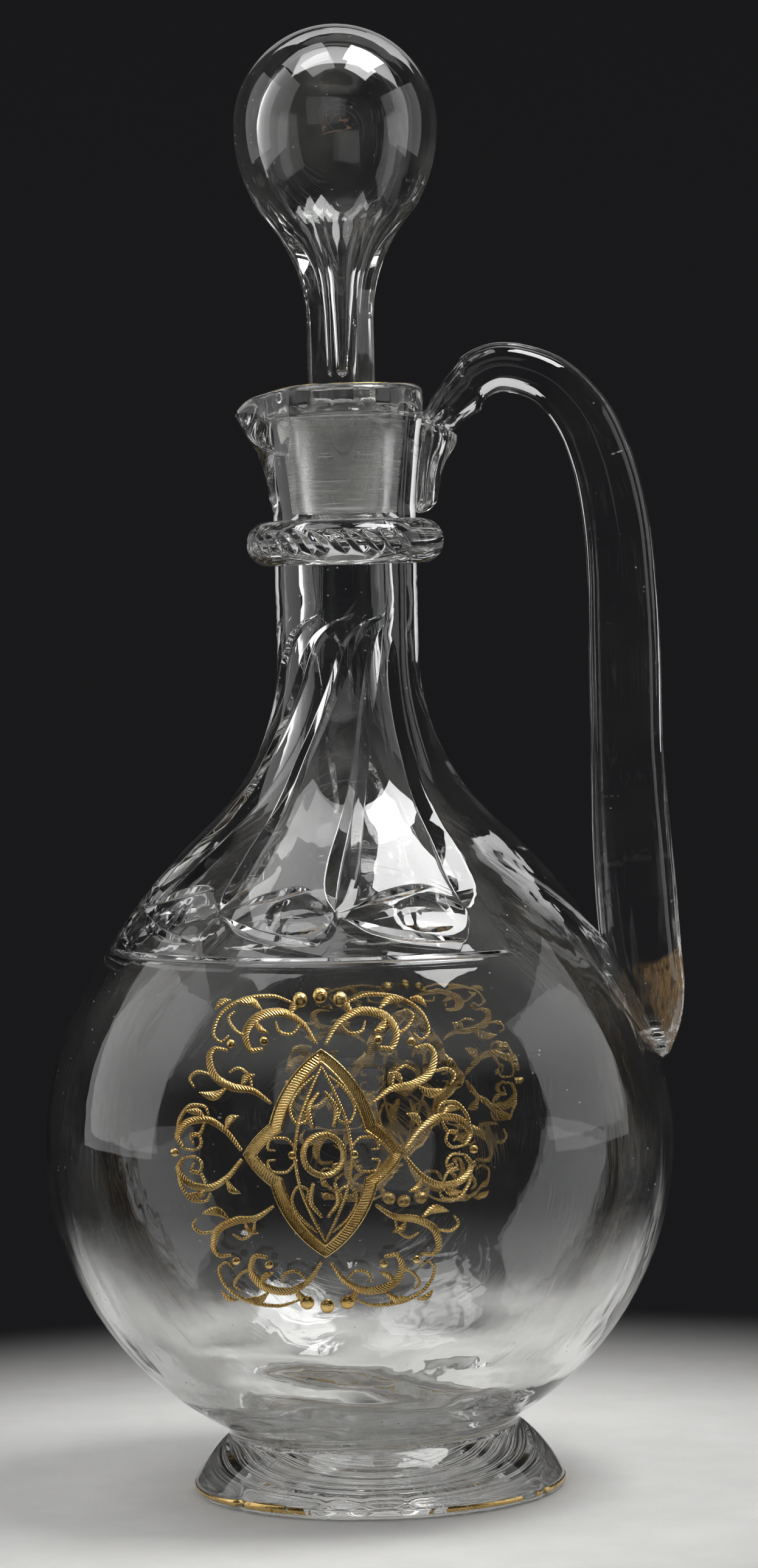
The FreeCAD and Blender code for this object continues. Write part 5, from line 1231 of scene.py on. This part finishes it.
def ground_glass():
    """Glass ground with grit: fine pits, and rings from the turning of the wheel. Its left side
    gets more pale frost, which is painted light from the left.
    """
    material, g = new_material("ground_glass")
    at = g.own_coords()
    rings = g.noise(g.place(at, (20, 20, 2600)), 1.0, 2.0)
    pits = g.noise(at, 3600.0, 2.0, 0.6)
    worn = use_of(g, at, 1.0)
    height = g.sum("MULTIPLY_ADD", rings, 0.7, pits)
    rough = g.sum("ADD", g.sum("MULTIPLY_ADD", rings, 0.22, 0.14), worn.outputs["Rough"])
    clear = g.clear_glass((0.975, 0.98, 0.97, 1), rough, g.relief(height, 0.00003))
    frost = g.add("ShaderNodeBsdfDiffuse", {"Color": (0.80, 0.79, 0.76, 1)})
    marks = g.span(g.noise(g.place(at, (110, 110, 3000)), 1.0, 1.0), 0.66, 0.71)
    wiped_and_painted_light = g.span(g.noise(at, 120.0, 3.0), 0.35, 0.7, 0.05, 0.24)
    # Painted light: the left side of the ground glass gets more pale frost, standing in for the
    # light from the left lamp.
    left = g.span(g.parts(at)[0], -0.0052, -0.0062)
    wiped_and_painted_light = g.sum("MULTIPLY_ADD", left, 0.20, wiped_and_painted_light)
    share = g.sum("MAXIMUM", g.sum("MULTIPLY", marks, 0.7),
                  g.sum("MULTIPLY", wiped_and_painted_light, g.span(pits, 0.25, 0.75, 0.6, 1.0)))
    g.surface(g.over(share, clear, frost))
    return material


def worn_base():
    """The underside of the foot: its rest is frosted by years of tables, and the dish keeps faint
    rings from the turning, both by the distance from the foot's own axis."""
    material, g = new_material("worn_base")
    at = g.own_coords()
    flat = g.add("ShaderNodeMapping", {"Vector": at, "Location": (-FOOT_X * MM, 0, 0),
                                       "Scale": (1, 1, 0)}).outputs[0]
    reach = g.length(flat)
    line = g.add("ShaderNodeCombineXYZ", {0: reach}).outputs[0]
    rings = g.span(g.noise(line, 420.0, 3.0, 0.6), 0.40, 0.62)
    scratches = g.span(g.noise(line, 2600.0, 1.0), 0.58, 0.68)
    patches = g.span(g.noise(at, 85.0, 4.0, 0.6), 0.36, 0.60)
    rest = g.sum("MULTIPLY", g.span(reach, 0.0292, 0.0312),
                 g.sum("MULTIPLY_ADD", patches, 0.13, 0.01))
    dish = g.sum("MULTIPLY", g.span(reach, 0.0262, 0.0235), g.sum("MULTIPLY", rings, 0.12))
    share = g.sum("MAXIMUM", g.sum("MAXIMUM", rest, dish), g.sum("MULTIPLY", scratches, 0.03))
    clear = g.clear_glass(WATER_CLEAR, g.sum("MULTIPLY_ADD", share, 0.5, POLISHED),
                          g.relief(rings, 0.00034))
    frost = g.add("ShaderNodeBsdfDiffuse", {"Color": (0.88, 0.87, 0.85, 1)})
    g.surface(g.over(share, clear, frost))
    return material


def fused_glass():
    """The seam where two gathers of glass became one: light goes through it unbent."""
    material, g = new_material("fused_seam")
    at = g.own_coords()
    cloud = g.span(g.noise(at, 90.0, 3.0), 0.45, 0.75)
    tint = g.between(cloud, (1, 1, 1, 1), (0.965, 0.97, 0.965, 1))
    through = g.add("ShaderNodeBsdfTransparent", {"Color": tint})
    g.surface(through)
    return material


def gold(name, raised):
    """Burnished gold. Raised gold is hatched and stippled; painted gold is thin and rubbed off."""
    material, g = new_material(name)
    at = g.own_coords()
    sheet = g.add("ShaderNodeUVMap", uv_map="along").outputs[0]
    age = g.add("ShaderNodeGroup", {"Coords": at}, node_tree=GOLD_AGE)
    way, side, _ = g.parts(sheet)
    alpha = 1.0
    if raised:
        slant = g.sum("MULTIPLY_ADD", side, 0.9, way)
        hatch = g.sum("SINE", g.sum("MULTIPLY", slant, 2 * math.pi / 0.62))
        within = g.span(g.sum("ABSOLUTE", side), 0.95, 0.8)
        height = g.sum("MULTIPLY_ADD", g.sum("MULTIPLY", hatch, within), 0.6,
                       g.sum("MULTIPLY", age.outputs["Height"], 1.1))
        dirt = g.sum("MULTIPLY", g.span(hatch, 0.1, -0.9), within)
        distance = 0.00012
    else:
        height = age.outputs["Height"]
        dirt = 0.0
        distance = 0.00003
        edge = g.span(g.sum("ABSOLUTE", side), 1.0, 0.86)
        rubbed = g.span(g.noise(at, 150.0, 5.0, 0.65), 0.60, 0.55)
        alpha = g.sum("MULTIPLY", rubbed, edge)
    colour = g.between(g.sum("MULTIPLY", dirt, 0.45), age.outputs["Colour"],
                       (0.26, 0.14, 0.045, 1))
    metal = g.add("ShaderNodeBsdfPrincipled", {
        "Base Color": colour, "Metallic": 1.0,
        "Roughness": g.sum("MULTIPLY_ADD", dirt, 0.12, age.outputs["Rough"]),
        "Alpha": alpha, "Normal": g.relief(height, distance)})
    g.surface(metal)
    return material


blown = crystal("blown_crystal", (1, 1, 0.35), 0.0004)
spun = crystal("spun_crystal", (1, 1, 2.2), 0.00012, 1.4)
cut = crystal("cut_crystal", (1, 1, 1), 0.00015, 0.8)
# The handle's mark is a painted reflection: a warm brown swirl laid into the glass of its lower
# end.
drawn = crystal("drawn_crystal", (0.25, 3.4, 1), 0.0005, 1.1, along=True,
                mark=(painted_reflection_in_handle_end, (0.27, 0.165, 0.07, 1), 0.62))
stoppered = crystal("stopper_crystal", (1, 1, 0.5), 0.00007, 1.2, haze=0.05,
                    mark=(brown_wisps, (0.34, 0.20, 0.14, 1), 0.75))
ground, seam, base = ground_glass(), fused_glass(), worn_base()
leaf_gold, line_gold = gold("raised_gold", True), gold("painted_gold", False)

blown_vessel([blown, seam, ground])
spun_foot([spun, seam, base])
notched_ring([cut, seam])
drawn_handle([drawn])
ground_stopper([stoppered, seam, ground])
for label, place in (("front", FRONT), ("back", BACK)):
    gilt_frame(label + "_frame_of_gold", [leaf_gold], place, [label + "_gilt_frame"])
    gilt_scrolls(label + "_scrolls_of_gold", [leaf_gold], place, [label + "_gilt_scrolls"])
    gilt_beads(label + "_beads_of_gold", [leaf_gold], place, [label + "_gilt_beads"])
foot_line([line_gold])
rim_line([line_gold])


# Stage: a pale floor that runs off into a dark backdrop, soft lamps, and the camera. The room is
# the light that matt surfaces get from all round.
BACKDROP_LOW, BACKDROP_HIGH = (0.010, 0.010, 0.011, 1), (0.007, 0.007, 0.0075, 1)
ROOM = (0.28, 0.28, 0.28, 1)


def seen_directly(g):
    """1 for camera, glossy and transmission rays, which all see the backdrop's own colour, and 0
    once light has left a matt surface, so that the room also lights the floor through the glass."""
    path = g.add("ShaderNodeLightPath")
    either = g.sum("MAXIMUM", path.outputs["Is Camera Ray"], path.outputs["Is Glossy Ray"])
    seen = g.sum("MAXIMUM", either, path.outputs["Is Transmission Ray"])
    left = g.sum("SUBTRACT", seen, path.outputs["Diffuse Depth"])
    return g.sum("MAXIMUM", left, 0.0)


def make_floor():
    """A disc with its own shading by the distance from its middle."""
    reach = np.array((0.3, 0.8, 1.6, 3.0, 6.0, 12.0))[:, None]
    a = np.linspace(0, 2 * np.pi, 96, endpoint=False)[None, :]
    points = np.stack([reach * np.cos(a), reach * np.sin(a), 0 * reach * a], -1).reshape(-1, 3)
    index = np.arange(len(points)).reshape(6, 96)
    ring = np.concatenate([index, index[:, :1]], 1)
    quads = np.stack([ring[:-1, :-1], ring[1:, :-1], ring[1:, 1:], ring[:-1, 1:]], -1)
    mesh = bpy.data.meshes.new("floor")
    mesh.from_pydata(points.tolist(), [], [index[0].tolist()] + quads.reshape(-1, 4).tolist())
    mesh.update()
    floor = bpy.data.objects.new("floor", mesh)
    bpy.context.scene.collection.objects.link(floor)
    material, g = new_material("pale_floor")
    at = g.own_coords()
    mottle = g.noise(at, 60.0, 4.0, 0.6)
    colour = g.between(g.span(mottle, 0.3, 0.7), (0.66, 0.655, 0.64, 1), (0.70, 0.695, 0.68, 1))
    lit = g.add("ShaderNodeBsdfPrincipled", {
        "Base Color": colour, "Roughness": 0.62, "Metallic": 0.0,
        "Normal": g.relief(g.noise(at, 900.0, 3.0), 0.0002, 0.5)})
    far = g.add("ShaderNodeEmission", {"Color": BACKDROP_LOW, "Strength": 1.0})
    share = g.sum("MULTIPLY", g.span(g.length(at), 0.06, 0.25), seen_directly(g))
    g.surface(g.over(share, lit, far))
    mesh.materials.append(material)


def make_world():
    """The dark backdrop for the rays that see it, and the room's even light for all others."""
    world = bpy.data.worlds.new("backdrop")
    bpy.context.scene.world = world
    world.use_nodes = True
    g = Graph(world.node_tree)
    up = g.parts(g.add("ShaderNodeTexCoord").outputs["Generated"])[2]
    behind = g.between(g.span(up, 0.02, 0.6), BACKDROP_LOW, BACKDROP_HIGH)
    seen = g.between(seen_directly(g), ROOM, behind)
    back = g.add("ShaderNodeBackground", {"Color": seen, "Strength": 1.0})
    g.add("ShaderNodeOutputWorld", {"Surface": back.outputs[0]})


def soft_lamp(name, place, target, size, power):
    """A rectangular lamp that points at its target and that the camera doesn't see."""
    lamp = bpy.data.lights.new(name, "AREA")
    lamp.shape, lamp.size, lamp.size_y = "RECTANGLE", size[0], size[1]
    lamp.energy = power
    holder = bpy.data.objects.new(name, lamp)
    bpy.context.scene.collection.objects.link(holder)
    holder.location = place
    holder.rotation_euler = (Vector(target) - Vector(place)).to_track_quat("-Z", "Y").to_euler()
    holder.visible_camera = False


make_floor()
make_world()
soft_lamp("lamp_over_right", (0.42, -0.08, 1.25), (0, 0, 0.15), (0.50, 0.50), 11.5)
soft_lamp("lamp_over_left", (-0.42, -0.06, 1.35), (0, 0, 0.15), (0.62, 0.66), 4.2)
soft_lamp("lamp_left", (-1.35, 0.22, 0.60), (0, 0, 0.18), (1.1, 1.3), 4.9)
soft_lamp("lamp_right", (1.40, 0.10, 0.50), (0, 0, 0.15), (1.1, 1.1), 3.4)
soft_lamp("lamp_behind", (0.05, 1.15, 0.85), (0, 0, 0.05), (1.0, 0.40), 0.75)
soft_lamp("lamp_front", (-0.50, -2.30, 0.90), (0, 0, 0.15), (1.6, 1.2), 2.6)

lens = bpy.data.cameras.new("camera")
lens.lens, lens.sensor_width, lens.sensor_fit = 108.1, 36.0, "AUTO"
lens.clip_start, lens.clip_end = 0.05, 60.0
lens.dof.use_dof = False
camera = bpy.data.objects.new("camera", lens)
bpy.context.scene.collection.objects.link(camera)
camera.location = (0.0059, -1.0, 0.190)
way = Vector((0, 1.0, -0.04)).to_track_quat("-Z", "Y")
camera.rotation_mode = "QUATERNION"
camera.rotation_quaternion = way @ Quaternion((0, 0, 1), math.radians(-1.4))
bpy.context.scene.camera = camera

scene = bpy.context.scene
scene.view_settings.view_transform = "Standard"
scene.cycles.max_bounces = 28
scene.cycles.transmission_bounces = 26
scene.cycles.glossy_bounces = 10
scene.cycles.transparent_max_bounces = 24
